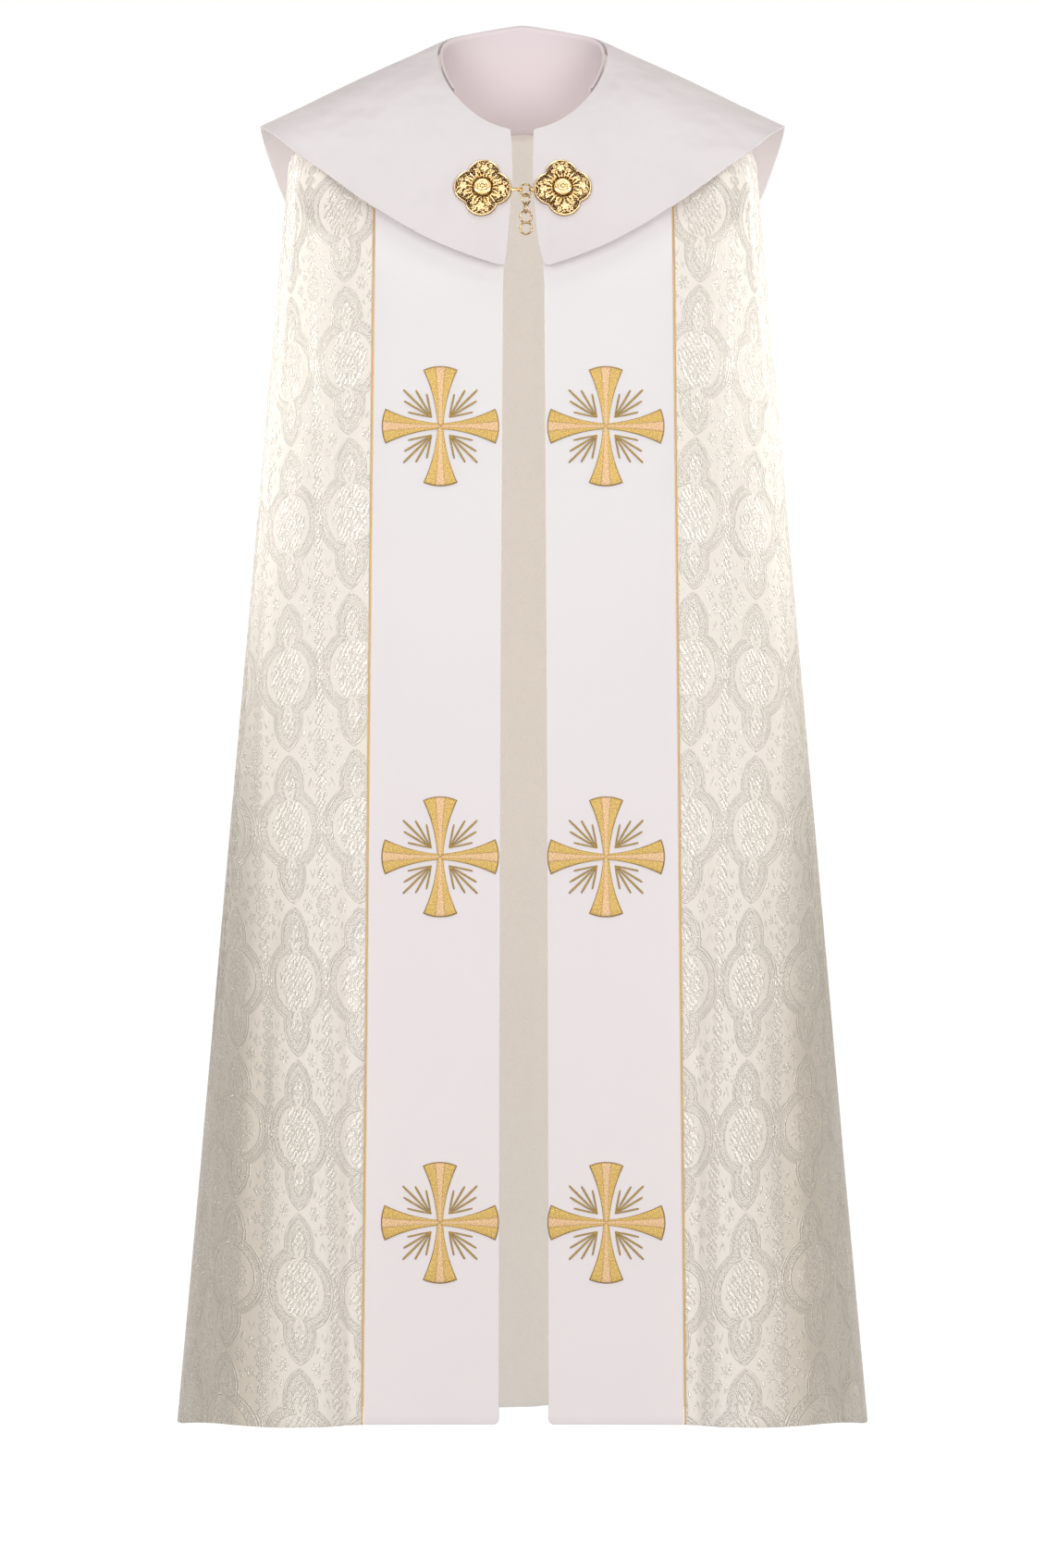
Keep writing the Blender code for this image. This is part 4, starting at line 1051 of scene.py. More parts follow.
damask = damask_material("damask")
damask_in = damask_material("damask_reverse", 0.93, inner=True)
band_satin = satin_material("orphrey_satin", (0.826, 0.795, 0.808), (0.854, 0.788, 0.799), -0.25, -1.15,
                            rough=0.50, mottled=0.014, sheen=0.15, waves=0.10)
band_satin_in = satin_material("orphrey_reverse", (0.80, 0.76, 0.76), (0.78, 0.72, 0.73), -0.30, -1.40)
collar_satin = satin_material("collar_satin", (0.748, 0.704, 0.718), (0.738, 0.688, 0.700), -0.05, -0.30,
                              rough=0.46, mottled=0.050, sheen=0.15, waves=0.85)
# underside of the collar: its glow is painted light that lifts the shade under the collar
collar_under = satin_material("collar_under", (0.78, 0.725, 0.735), (0.76, 0.70, 0.71), -0.05, -0.30, glow=0.24)
facing_satin = satin_material("facing_satin", (0.775, 0.685, 0.710), (0.755, 0.665, 0.690), 0.05, -0.10,
                              rough=0.52, mottled=0.02)

front_r = outward(inset(G["front_r"], PIPING_GAP, SEAM_GAP / 2), FRONT_CREASES["front_r"], True)
front_l = outward(inset(G["front_l"], SEAM_GAP / 2, PIPING_GAP), FRONT_CREASES["front_l"], True)
back = outward(inset(G["back"], SEAM_GAP / 2, SEAM_GAP / 2), BACK_CREASES)
band_r = inset(G["band_r"], 0.0, PIPING_GAP)
band_l = inset(G["band_l"], PIPING_GAP, 0.0)


def round_corner(p, col_first, radius=0.0055):
    """Rounds the lower inner corner of a band: its last rows are drawn up toward the inner edge."""
    q = p.copy()
    cols = range(p.shape[1]) if col_first else range(p.shape[1] - 1, -1, -1)
    edge = p[-1, 0 if col_first else -1]
    for j in cols:
        dist = abs(p[-1, j, 0] - edge[0])
        if dist >= radius:
            break
        lift = radius - math.sqrt(max(radius ** 2 - (radius - dist) ** 2, 0.0))
        # ease the lift into the rows above
        base = p[-1, j, 2]
        for i in range(len(p) - 1, -1, -1):
            up = p[i, j, 2] - base
            if up > 0.05:
                break
            q[i, j, 2] = p[i, j, 2] + lift * max(1.0 - up / 0.05, 0.0)
    return q


band_r = round_corner(band_r, True)
band_l = round_corner(band_l, False)

front_right = cloth_shell("front_right_cloth", front_r, cut_front(front_r, -1), CLOTH, [damask, damask_in],
                          "front_right")
front_left = cloth_shell("front_left_cloth", front_l, cut_front(front_l, 1), CLOTH, [damask, damask_in],
                         "front_left")
back_piece = cloth_shell("back_panel", back, cut_back(back), CLOTH, [damask, damask_in], "back")
orphrey_right = cloth_shell("orphrey_right_cloth", band_r, cut_plain(band_r), BAND_CLOTH,
                            [band_satin, band_satin_in], "orphrey_right", bevel=0.0009)
orphrey_left = cloth_shell("orphrey_left_cloth", band_l, cut_plain(band_l), BAND_CLOTH,
                           [band_satin, band_satin_in], "orphrey_left", bevel=0.0009)

# ================================================================ piping
piping_mat, pb = new_material("gold_piping", rough=0.42, metal=0.35, spec=0.5)
pu, pv = uv_of("cord")
twist = vsin(pu * 6.28318 + pv * 2600.0)
pcol = mixc(ramp(twist, -0.9, 0.6), (0.50, 0.300, 0.090), (0.80, 0.530, 0.200))
E.tree.links.new(pcol, pb.inputs["Base Color"])
E.tree.links.new(bump(twist, 0.5, 0.0002), pb.inputs["Normal"])


def tube(points, radius, sides, closed=False):
    """Tube mesh round a polyline: verts, faces, (turn, length) map."""
    pts = np.asarray(points, dtype=float)
    n = len(pts)
    tan = np.gradient(pts, axis=0) if not closed else np.roll(pts, -1, 0) - np.roll(pts, 1, 0)
    tan /= np.linalg.norm(tan, axis=1)[:, None]
    ref = np.array([0.0, -1.0, 0.15])
    verts, uvs, faces = [], [], []
    length = 0.0
    for i in range(n):
        if i:
            length += np.linalg.norm(pts[i] - pts[i - 1])
        a = ref - tan[i] * ref.dot(tan[i])
        a /= np.linalg.norm(a)
        b = np.cross(tan[i], a)
        r = radius[i] if hasattr(radius, "__len__") else radius
        for k in range(sides):
            t = 2 * math.pi * k / sides
            verts.append(pts[i] + r * (a * math.cos(t) + b * math.sin(t)))
            uvs.append((k / sides, length))
    last = n if closed else n - 1
    for i in range(last):
        for k in range(sides):
            j, kk = (i + 1) % n, (k + 1) % sides
            faces.append((i * sides + k, i * sides + kk, j * sides + kk, j * sides + k))
    if not closed:
        faces.append(tuple(range(sides))[::-1])
        faces.append(tuple((n - 1) * sides + k for k in range(sides)))
    return verts, faces, uvs


def piping(name, node, grid, index):
    pts = []
    for i in range(len(grid)):
        row = grid[i]
        p, q = row[index], row[index + (3 if index == 0 else -3)]
        up = grid[min(i + 1, len(grid) - 1)][index] - grid[max(i - 1, 0)][index]
        nn = np.cross(q - p, up)
        nn /= np.linalg.norm(nn)
        if nn.dot(np.array([p[0] * 0.3, -1.0, 0.3])) < 0:
            nn = -nn
        pts.append(p - nn * (PIPING_R - 0.0006))
    dense = resample(np.array(pts), np.linspace(0, 1, 420))
    verts, faces, uvs = tube(dense, PIPING_R * 1.04, 10)
    return mesh_object(name, verts, faces, piping_mat, "garment", node, uvs={"cord": uvs})


piping("gold_piping_right", "piping_right", G["front_r"], 0)
piping("gold_piping_left", "piping_left", G["front_l"], -1)


# ================================================================ collar
def rim_point(b_deg):
    b = math.radians(b_deg)
    s, c = abs(math.sin(b)), math.cos(b)
    depth = RIM_FRONT if c > 0 else RIM_BACK
    x = RIM_X * s
    y = -depth * math.copysign(max(1.0 - s ** RIM_POWER, 0.0) ** (1.0 / RIM_POWER), c)
    table = RIM_FRONT_Z if b_deg <= 90.0 else RIM_BACK_Z
    z = float(through([r[0] for r in table], [[r[1]] for r in table], b_deg)[0])
    return np.array([x, y, z])


def collar_point(u, t):
    side = -1.0 if u < 0 else 1.0
    v = abs(u)
    if v >= 0.5:
        k = (1.0 - v) / 0.5
        a = COLLAR_FRONT_A + (COLLAR_SHOULDER_A - COLLAR_FRONT_A) * k
        b = RIM_FRONT_A + (90.0 - RIM_FRONT_A) * k
    else:
        k = v / 0.5
        a = 180.0 - (180.0 - COLLAR_SHOULDER_A) * k
        b = 180.0 - 90.0 * k
    n, r = neck_point(a), rim_point(b)
    p = n + (r - n) * t
    chord = r - n
    out = np.array([-chord[2] * n[0] / max(np.linalg.norm(n[:2]), 1e-6),
                    -chord[2] * n[1] / max(np.linalg.norm(n[:2]), 1e-6), np.linalg.norm(chord[:2])])
    out /= np.linalg.norm(out)
    blade = math.exp(-((v - 0.33) / 0.13) ** 2) if v < 0.5 else math.exp(-((v - 0.33) / 0.09) ** 2)
    chest = math.exp(-((v - 0.71) / 0.10) ** 2)
    flat = 1.0 - 0.7 * math.exp(-((v - 0.5) / 0.07) ** 2)       # drawn straight along the shoulder
    p = p + out * (COLLAR_BULGE * flat + COLLAR_BLADE * blade + COLLAR_CHEST * chest) * math.sin(math.pi * t ** 0.75)
    p[0] *= side
    edge = through([row[0] for row in COLLAR_EDGE], [[row[1], row[2]] for row in COLLAR_EDGE], t)
    want = edge[0] if side < 0 else edge[1]
    have = (neck_point(COLLAR_FRONT_A)[0] * (1 - t) + rim_point(RIM_FRONT_A)[0] * t) * side
    near = smooth(1.0 - (1.0 - v) / 0.16)
    p[0] += (want - have) * near
    return p


def collar_grid():
    half = np.concatenate([[0.0, 0.0012, 0.0034, 0.0072], np.linspace(0.016, 1.0, 96)])
    us = np.concatenate([-(1.0 - half), (1.0 - half)[-2::-1]])
    ts = np.concatenate([[0.0, 0.004, 0.012], np.linspace(0.03, 0.95, 44), [0.968, 0.980, 0.9885, 0.9945, 1.0]])
    g = np.array([[collar_point(u, t) for u in us] for t in ts])
    # rounded front corners, at the hem and at the neck
    for end in (0, -1):
        inner = 1 if end == 0 else -1
        for row, edge_row, radius in ((len(ts) - 1, -1, 0.0050), (0, 0, 0.0035)):
            corner = g[edge_row, end].copy()
            along_front = g[-8 if edge_row == -1 else 4, end] - corner
            along_front /= np.linalg.norm(along_front)
            along_hem = g[edge_row, 6 if end == 0 else -7] - corner
            along_hem /= np.linalg.norm(along_hem)
            centre = corner + (along_front + along_hem) * radius
            block = [(i, j) for i in range(len(ts)) for j in range(len(us))
                     if np.linalg.norm(g[i, j] - corner) < radius * 1.9]
            for i, j in block:
                d = g[i, j] - corner
                a, b = d.dot(along_front), d.dot(along_hem)
                if a < radius and b < radius:
                    va, vb = radius - a, radius - b
                    m = max(va, vb)
                    l = math.hypot(va, vb)
                    if l > 1e-9:
                        k = m / l
                        g[i, j] = g[i, j] - along_front * (a - (radius - va * k)) - along_hem * (b - (radius - vb * k))
    return g


collar_p = collar_grid()
# soft dents: by the fastening and over the shoulders
cn = grid_normals(collar_p)
if cn[20, 10, 1] > 0:
    cn = -cn
rows_c, cols_c = collar_p.shape[:2]
uu = np.linspace(-1, 1, cols_c)[None, :]
tt = np.linspace(0, 1, rows_c)[:, None]
COLLAR_DENTS = [
    # u      t     depth    along u  along t
    (-0.86, 0.20, -0.0010, 0.050, 0.16),
    (0.85, 0.22, -0.0009, 0.050, 0.15),
    (-0.66, 0.30, 0.0012, 0.070, 0.22),
    (0.64, 0.32, 0.0011, 0.075, 0.20),
    (-0.58, 0.70, -0.0012, 0.060, 0.20),
    (0.60, 0.66, -0.0013, 0.060, 0.20),
    (-0.93, 0.72, 0.0008, 0.030, 0.18),
    (0.94, 0.70, 0.0008, 0.028, 0.18),
    (-0.25, 0.60, -0.0020, 0.050, 0.25),
    (0.18, 0.70, 0.0022, 0.050, 0.22),
    (0.34, 0.55, -0.0018, 0.060, 0.25),
    (-0.05, 0.80, -0.0018, 0.060, 0.18),
]
dent = np.zeros((rows_c, cols_c))
for u0, t0, depth, wu, wt_ in COLLAR_DENTS:
    dent += depth * np.exp(-((uu - u0) / wu) ** 2 - ((tt - t0) / wt_) ** 2)
collar_p = collar_p + cn * dent[..., None]
collar_shell = cloth_shell("cape_collar", collar_p, cut_plain(collar_p), COLLAR_CLOTH, [collar_satin, collar_under],
                           "collar", bevel=0.0010)


# ================================================================ neck facing
def facing_grid():
    rows = []
    for t in [0.0, 0.008, 0.018, 0.030, 0.045, 0.065, 0.09] + list(np.linspace(0.12, 1, 22)):
        row = []
        for a in np.linspace(58.0, 302.0, 110):
            side, aa = 1.0, a
            if a > 180:
                aa, side = 360 - a, -1.0
            n = neck_point(aa)
            shrink = 0.0050 + 0.0032 * math.cos(math.radians(aa)) ** 2
            shrink = 0.0027 + (shrink - 0.0027) * smooth((t + 0.004) / 0.034)
            rad = np.array([n[0] / NECK_X ** 2, n[1] / NECK_FRONT ** 2, 0.0])
            rad /= np.linalg.norm(rad)
            fade = smooth((aa - 50.0) / 70.0)
            depth = 0.020 + (0.118 - 0.020) * fade
            p = n - rad * shrink + np.array([0, 0, -0.0006 - depth * t])
            p += rad * (0.010 * t * fade)
            p[0] *= -side
            row.append(p)
        rows.append(row)
    return np.array(rows)


facing_p = facing_grid()
facing_shell = cloth_shell("neck_facing_cloth", facing_p, cut_plain(facing_p), FACING_CLOTH,
                           [facing_satin], "neck_facing", bevel=0.0003)

# ================================================================ embroidered crosses
gold_thread, gb = new_material("gold_thread", rough=0.45, metal=0.30, spec=0.5)
su, sv = uv_of("stitch")                   # along, across, metres
nu, nv = uv_of("place")                    # along 0..1, across -1..1
su, sv = su * 1000.0, sv * 1000.0
edge_in = 0.30 + 0.14 * (1.0 - nu) * (1.0 - nu)
speck1 = noise(combine(su * 0.60, sv * 1.05), 1.25, 2.0, 0.65)
speck2 = noise(combine(su * 2.2, sv * 2.8, 3.0), 1.5, 1.0, 0.5)
wob = (noise(combine(su * 0.9, sv * 0.2, 5.0), 1.0, 1.0) - 0.5) * 0.22
pinkm = ramp(vabs(nv) + wob, edge_in + 0.03, edge_in - 0.03)
gold_c = mixc(ramp(speck1, 0.38, 0.60), (0.345, 0.205, 0.038), (0.815, 0.552, 0.162))
pink_c = mixc(ramp(speck1, 0.38, 0.58), (0.480, 0.285, 0.125), (0.835, 0.562, 0.325))
c1 = mixc(pinkm, gold_c, pink_c)
seam = ramp(vabs(vabs(nv) + wob - edge_in), 0.075, 0.0) * ramp(speck2, 0.35, 0.55)
c1 = mixc(seam * 0.80, c1, (0.27, 0.145, 0.05))
rim_d = vmax(ramp(vabs(nv), 0.90, 0.985), ramp(nu, 0.972, 0.992))
c1 = mixc(rim_d * 0.80, c1, (0.235, 0.135, 0.035))
c1 = mixc(ramp(speck2, 0.64, 0.78) * 0.5, c1, (0.99, 0.84, 0.52))
E.tree.links.new(c1, gb.inputs["Base Color"])
plug(0.38 + (speck1 - 0.5) * 0.3, gb.inputs["Roughness"])
E.tree.links.new(bump(speck1 * 0.6 + speck2 * 0.4, 0.7, 0.0004), gb.inputs["Normal"])

ray_thread, rb_ = new_material("ray_thread", rough=0.42, metal=0.35, spec=0.5)
ru, rv = uv_of("stitch")
ru, rv = ru * 1000.0, rv * 1000.0
rtw = vsin(ru * 5.2 + rv * 1.5)
rsp = noise(combine(ru * 1.5, rv * 2.0), 1.3, 1.0)
rx, ry = uv_of("place")
rc = mixc(ramp(rtw + (rsp - 0.5) * 1.6, -0.5, 0.7), (0.270, 0.160, 0.030), (0.640, 0.430, 0.120))
rc = mixc(ramp(vabs(ry), 0.62, 0.92), rc, (0.170, 0.095, 0.022))
E.tree.links.new(rc, rb_.inputs["Base Color"])
E.tree.links.new(bump(rtw, 0.6, 0.0002), rb_.inputs["Normal"])


def band_point(side, x, z):
    lo, hi = 1.0, 4.0
    fr = {s: [0.0, 1.0] for s in SECTIONS}
    for _ in range(34):
        mid = (lo + hi) / 2
        p = ring(mid, fr)
        row = p["band_r"] if side == "right" else p["band_l"]
        f = (x - row[0][0]) / (row[1][0] - row[0][0])
        zz = row[0][2] + (row[1][2] - row[0][2]) * f
        if zz > z:
            lo = mid
        else:
            hi = mid
    q = row[0] + (row[1] - row[0]) * f
    return np.array([x, q[1], z])


def cross_arm():
    """One arm as a fine grid: (along, across) with its height, stitched in three padded rows."""
    n_a, n_c = 34, 25
    pts, place = [], []
    for i in range(n_a):
        s = i / (n_a - 1)
        row, prow = [], []
        for j in range(n_c):
            c = -1.0 + 2.0 * j / (n_c - 1)
            end = CROSS_ARM - CROSS_ARC * c * c
            if s < 0.07:
                along = CROSS_WAIST * s / 0.07
                half = along
            else:
                t = (s - 0.07) / 0.93
                along = CROSS_WAIST + (end - CROSS_WAIST) * t
                half = CROSS_WAIST + (CROSS_END - CROSS_WAIST) * (0.30 * t + 0.70 * t ** 2.1)
            e = 0.30 + 0.14 * (1 - s) ** 2
            if abs(c) < e:
                dome = math.sqrt(max(1 - (c / e) ** 2, 0.0))
                lift = 0.00075 + 0.00040 * dome
            else:
                m = (abs(c) - (e + 1) / 2) / ((1 - e) / 2)
                dome = math.sqrt(max(1 - m * m, 0.0))
                lift = 0.00065 + 0.00050 * dome
            lift *= min(1.0, 0.35 + 6.0 * (1 - abs(c)), 0.35 + 14.0 * (1 - s))
            lift *= 0.55 + 0.45 * min(half / 0.008, 1.0)
            row.append((along, c * half, lift))
            prow.append((s, c))
        pts.append(row)
        place.append(prow)
    return pts, place


ARM = cross_arm()
RAYS = [  # end of each ray in one quarter (across, up), mm, and its widest half width
    (39.0, 38.5, 1.10), (26.0, 38.0, 1.05), (14.5, 34.0, 0.92), (38.0, 26.5, 1.05), (34.0, 14.8, 0.92),
]


def cross_piece(name, node, side, cx, cz):
    c0 = band_point(side, cx, cz)
    up = band_point(side, cx, cz + 0.06) - band_point(side, cx, cz - 0.06)
    across = band_point(side, cx + 0.05, cz) - band_point(side, cx - 0.05, cz)
    across /= np.linalg.norm(across)
    up -= across * up.dot(across)
    up /= np.linalg.norm(up)
    nrm = np.cross(across, up)
    nrm *= -1 if nrm[1] > 0 else 1
    base = c0 + nrm * CROSS_LIFT
    verts, faces, st, pl, mat_i = [], [], [], [], []
    arm, place = ARM
    n_a, n_c = len(arm), len(arm[0])
    for k in range(4):
        c, s = math.cos(math.pi / 2 * k), math.sin(math.pi / 2 * k)
        off = len(verts)
        for layer in (0, 1):
            for i in range(n_a):
                for j in range(n_c):
                    a, b, h = arm[i][j]
                    x, y = (a * c - b * s) * CROSS_NARROW, a * s + b * c
                    hh = h if layer == 0 else 0.0
                    verts.append(base + across * x + up * y + nrm * hh)
                    st.append((a, b))
                    pl.append(place[i][j])
        m = n_a * n_c

        def at(layer, i, j):
            return off + layer * m + i * n_c + j

        for i in range(n_a - 1):
            for j in range(n_c - 1):
                faces.append((at(0, i, j), at(0, i + 1, j), at(0, i + 1, j + 1), at(0, i, j + 1)))
                faces.append((at(1, i, j), at(1, i, j + 1), at(1, i + 1, j + 1), at(1, i + 1, j)))
        for i in range(n_a - 1):
            faces.append((at(0, i, 0), at(1, i, 0), at(1, i + 1, 0), at(0, i + 1, 0)))
            faces.append((at(0, i, n_c - 1), at(0, i + 1, n_c - 1), at(1, i + 1, n_c - 1), at(1, i, n_c - 1)))
        for j in range(n_c - 1):
            faces.append((at(0, n_a - 1, j), at(1, n_a - 1, j), at(1, n_a - 1, j + 1), at(0, n_a - 1, j + 1)))
            faces.append((at(0, 0, j), at(0, 0, j + 1), at(1, 0, j + 1), at(1, 0, j)))
    mat_i += [0] * len(faces)
    # rays
    for qx, qy in ((1, 1), (-1, 1), (-1, -1), (1, -1)):
        for ex, ey, hw in RAYS:
            a0 = np.array([9.3 * qx, 9.3 * qy]) / 1000.0
            b0 = np.array([ex * qx, ey * qy]) / 1000.0
            d = b0 - a0
            L = np.linalg.norm(d)
            d /= L
            w = np.array([-d[1], d[0]])
            off = len(verts)
            n_s, n_k = 9, 7
            for i in range(n_s):
                t = i / (n_s - 1)
                half = hw / 1000.0 * (0.50 + 0.50 * smooth(t / 0.45)) * (1.0 if t < 0.93 else 0.72)
                lift = 0.00062 * (0.75 + 0.25 * smooth(t / 0.4)) * (1.0 if 0.0 < t < 1.0 else 0.5)
                for kk in range(n_k):
                    ang = math.pi * kk / (n_k - 1)
                    pos = a0 + d * (L * t) + w * (math.cos(ang) * half)
                    verts.append(base + across * pos[0] + up * pos[1] + nrm * (math.sin(ang) * lift))
                    st.append((L * t, math.cos(ang) * half))
                    pl.append((t, math.cos(ang)))
            for i in range(n_s - 1):
                for kk in range(n_k):
                    j = (kk + 1) % n_k
                    faces.append((off + i * n_k + kk, off + i * n_k + j, off + (i + 1) * n_k + j,
                                  off + (i + 1) * n_k + kk))
                    mat_i.append(1)
            faces.append(tuple(off + kk for kk in range(n_k))[::-1])
            faces.append(tuple(off + (n_s - 1) * n_k + kk for kk in range(n_k)))
            mat_i += [1, 1]
    ob = mesh_object(name, verts, faces, [gold_thread, ray_thread], "garment", node,
                     uvs={"stitch": st, "place": pl})
    ob.data.polygons.foreach_set("material_index", mat_i)
    bm = bmesh.new()
    bm.from_mesh(ob.data)
    bmesh.ops.remove_doubles(bm, verts=bm.verts, dist=1e-7)
    bmesh.ops.recalc_face_normals(bm, faces=bm.faces)
    bm.to_mesh(ob.data)
    bm.free()
    return ob


for side, cx in (("right", -0.0865), ("left", 0.0878)):
    for label, cz in CROSS_Z:
        cross_piece(f"embroidery_{side}_{label}", f"cross_{side}_{label}", side, cx, cz)

# ================================================================ clasp
gilt, mb = new_material("gilt_brass", rough=0.17, metal=1.0)
cav = attr_of("hollow")
xyz = object_xyz()
tarn = noise(xyz, 900.0, 2.0, 0.6)
gc = mixc(ramp(cav + (tarn - 0.5) * 0.20, 0.16, 0.66), (1.0, 0.750, 0.400), (0.070, 0.028, 0.006))
E.tree.links.new(gc, mb.inputs["Base Color"])
plug(0.16 + cav * 0.38 + (tarn - 0.5) * 0.08, mb.inputs["Roughness"])
E.tree.links.new(bump(tarn, 0.12, 0.0001), mb.inputs["Normal"])

gilt_plain, mb2 = new_material("gilt_wire", rough=0.20, metal=1.0)
xyz = object_xyz()
tarn2 = noise(xyz, 700.0, 2.0, 0.6)
gc2 = mixc(ramp(tarn2, 0.34, 0.66), (0.80, 0.57, 0.30), (0.20, 0.115, 0.042))
E.tree.links.new(gc2, mb2.inputs["Base Color"])
plug(0.20 + (tarn2 - 0.5) * 0.16, mb2.inputs["Roughness"])


def quat_radius(a):
    """Outline radius of the four-lobed plate in units of its width, by angle (array)."""
    lobe, off = 0.285, 0.5 - 0.285
    best = np.zeros_like(a)
    for k in range(4):
        ca = a - k * math.pi / 2
        d = lobe ** 2 - (off * np.sin(ca)) ** 2
        ok = (d >= 0) & (np.cos(ca) > 0)
        best = np.where(ok, np.maximum(best, off * np.cos(ca) + np.sqrt(np.maximum(d, 0))), best)
    return best


def spiral(cx, cy, r0, r1, a0, turns, n=26):
    """Points of a scroll that winds in from radius r0 to r1."""
    out = []
    for i in range(n):
        t = i / (n - 1)
        r = r0 + (r1 - r0) * t ** 0.8
        a = a0 + turns * 2 * math.pi * t
        out.append((cx + r * math.cos(a), cy + r * math.sin(a)))
    return out


def scroll_lines(odd):
    """Raised scrollwork of one plate, in mm, as (points, width, height): petals that reach in to the recess round
    the boss, curls and leaves between the lobes. odd varies the hand-chased cuts of the two plates."""
    lines = []
    for k in range(4):
        base = k * math.pi / 2
        ca, sa = math.cos(base), math.sin(base)

        def put(pts, width=0.55, high=1.0):
            lines.append(([(x * ca - y * sa, x * sa + y * ca) for x, y in pts], width, high))

        # fan of five petals on the lobe's axis
        for m in range(-2, 3):
            a = m * 0.235 + 0.02 * math.sin(3 * k + m + odd)
            r0, r1 = 10.7 + 0.5 * abs(m), 17.6 - 1.3 * abs(m)
            bend = 0.10 * m
            put([(r * math.cos(a + bend * (r - r0) / 8), r * math.sin(a + bend * (r - r0) / 8))
                 for r in np.linspace(r0, r1, 6)], 0.50, 1.35)
        # curls on both sides of the fan and in the notch between two lobes
        for m in (-1, 1):
            put(spiral(16.6, 7.6 * m, 2.9, 0.6, -m * 2.3, m * 1.2), 0.48, 1.15)
            put(spiral(22.4, 6.6 * m, 2.6, 0.6, m * 0.5, -m * 1.15), 0.46, 1.0)
            put([(13.2 + 1.2 * i, m * (7.0 + 0.75 * i + 0.5 * math.sin(i * 1.9 + odd))) for i in range(5)], 0.46, 1.05)
            put([(25.2 + 0.5 * i, m * (1.2 + 1.15 * i)) for i in range(5)], 0.42, 0.9)
        # leaf with three ribs on the diagonal
        for m in (-1, 0, 1):
            a = math.pi / 4 + m * 0.15 + 0.03 * math.sin(2 * k + odd)
            put([(r * math.cos(a + 0.02 * m * (r - 11)), r * math.sin(a + 0.02 * m * (r - 11)))
                 for r in np.linspace(11.0 + abs(m), 19.4 - abs(m) * 2.2, 7)], 0.50, 1.25)
    return lines


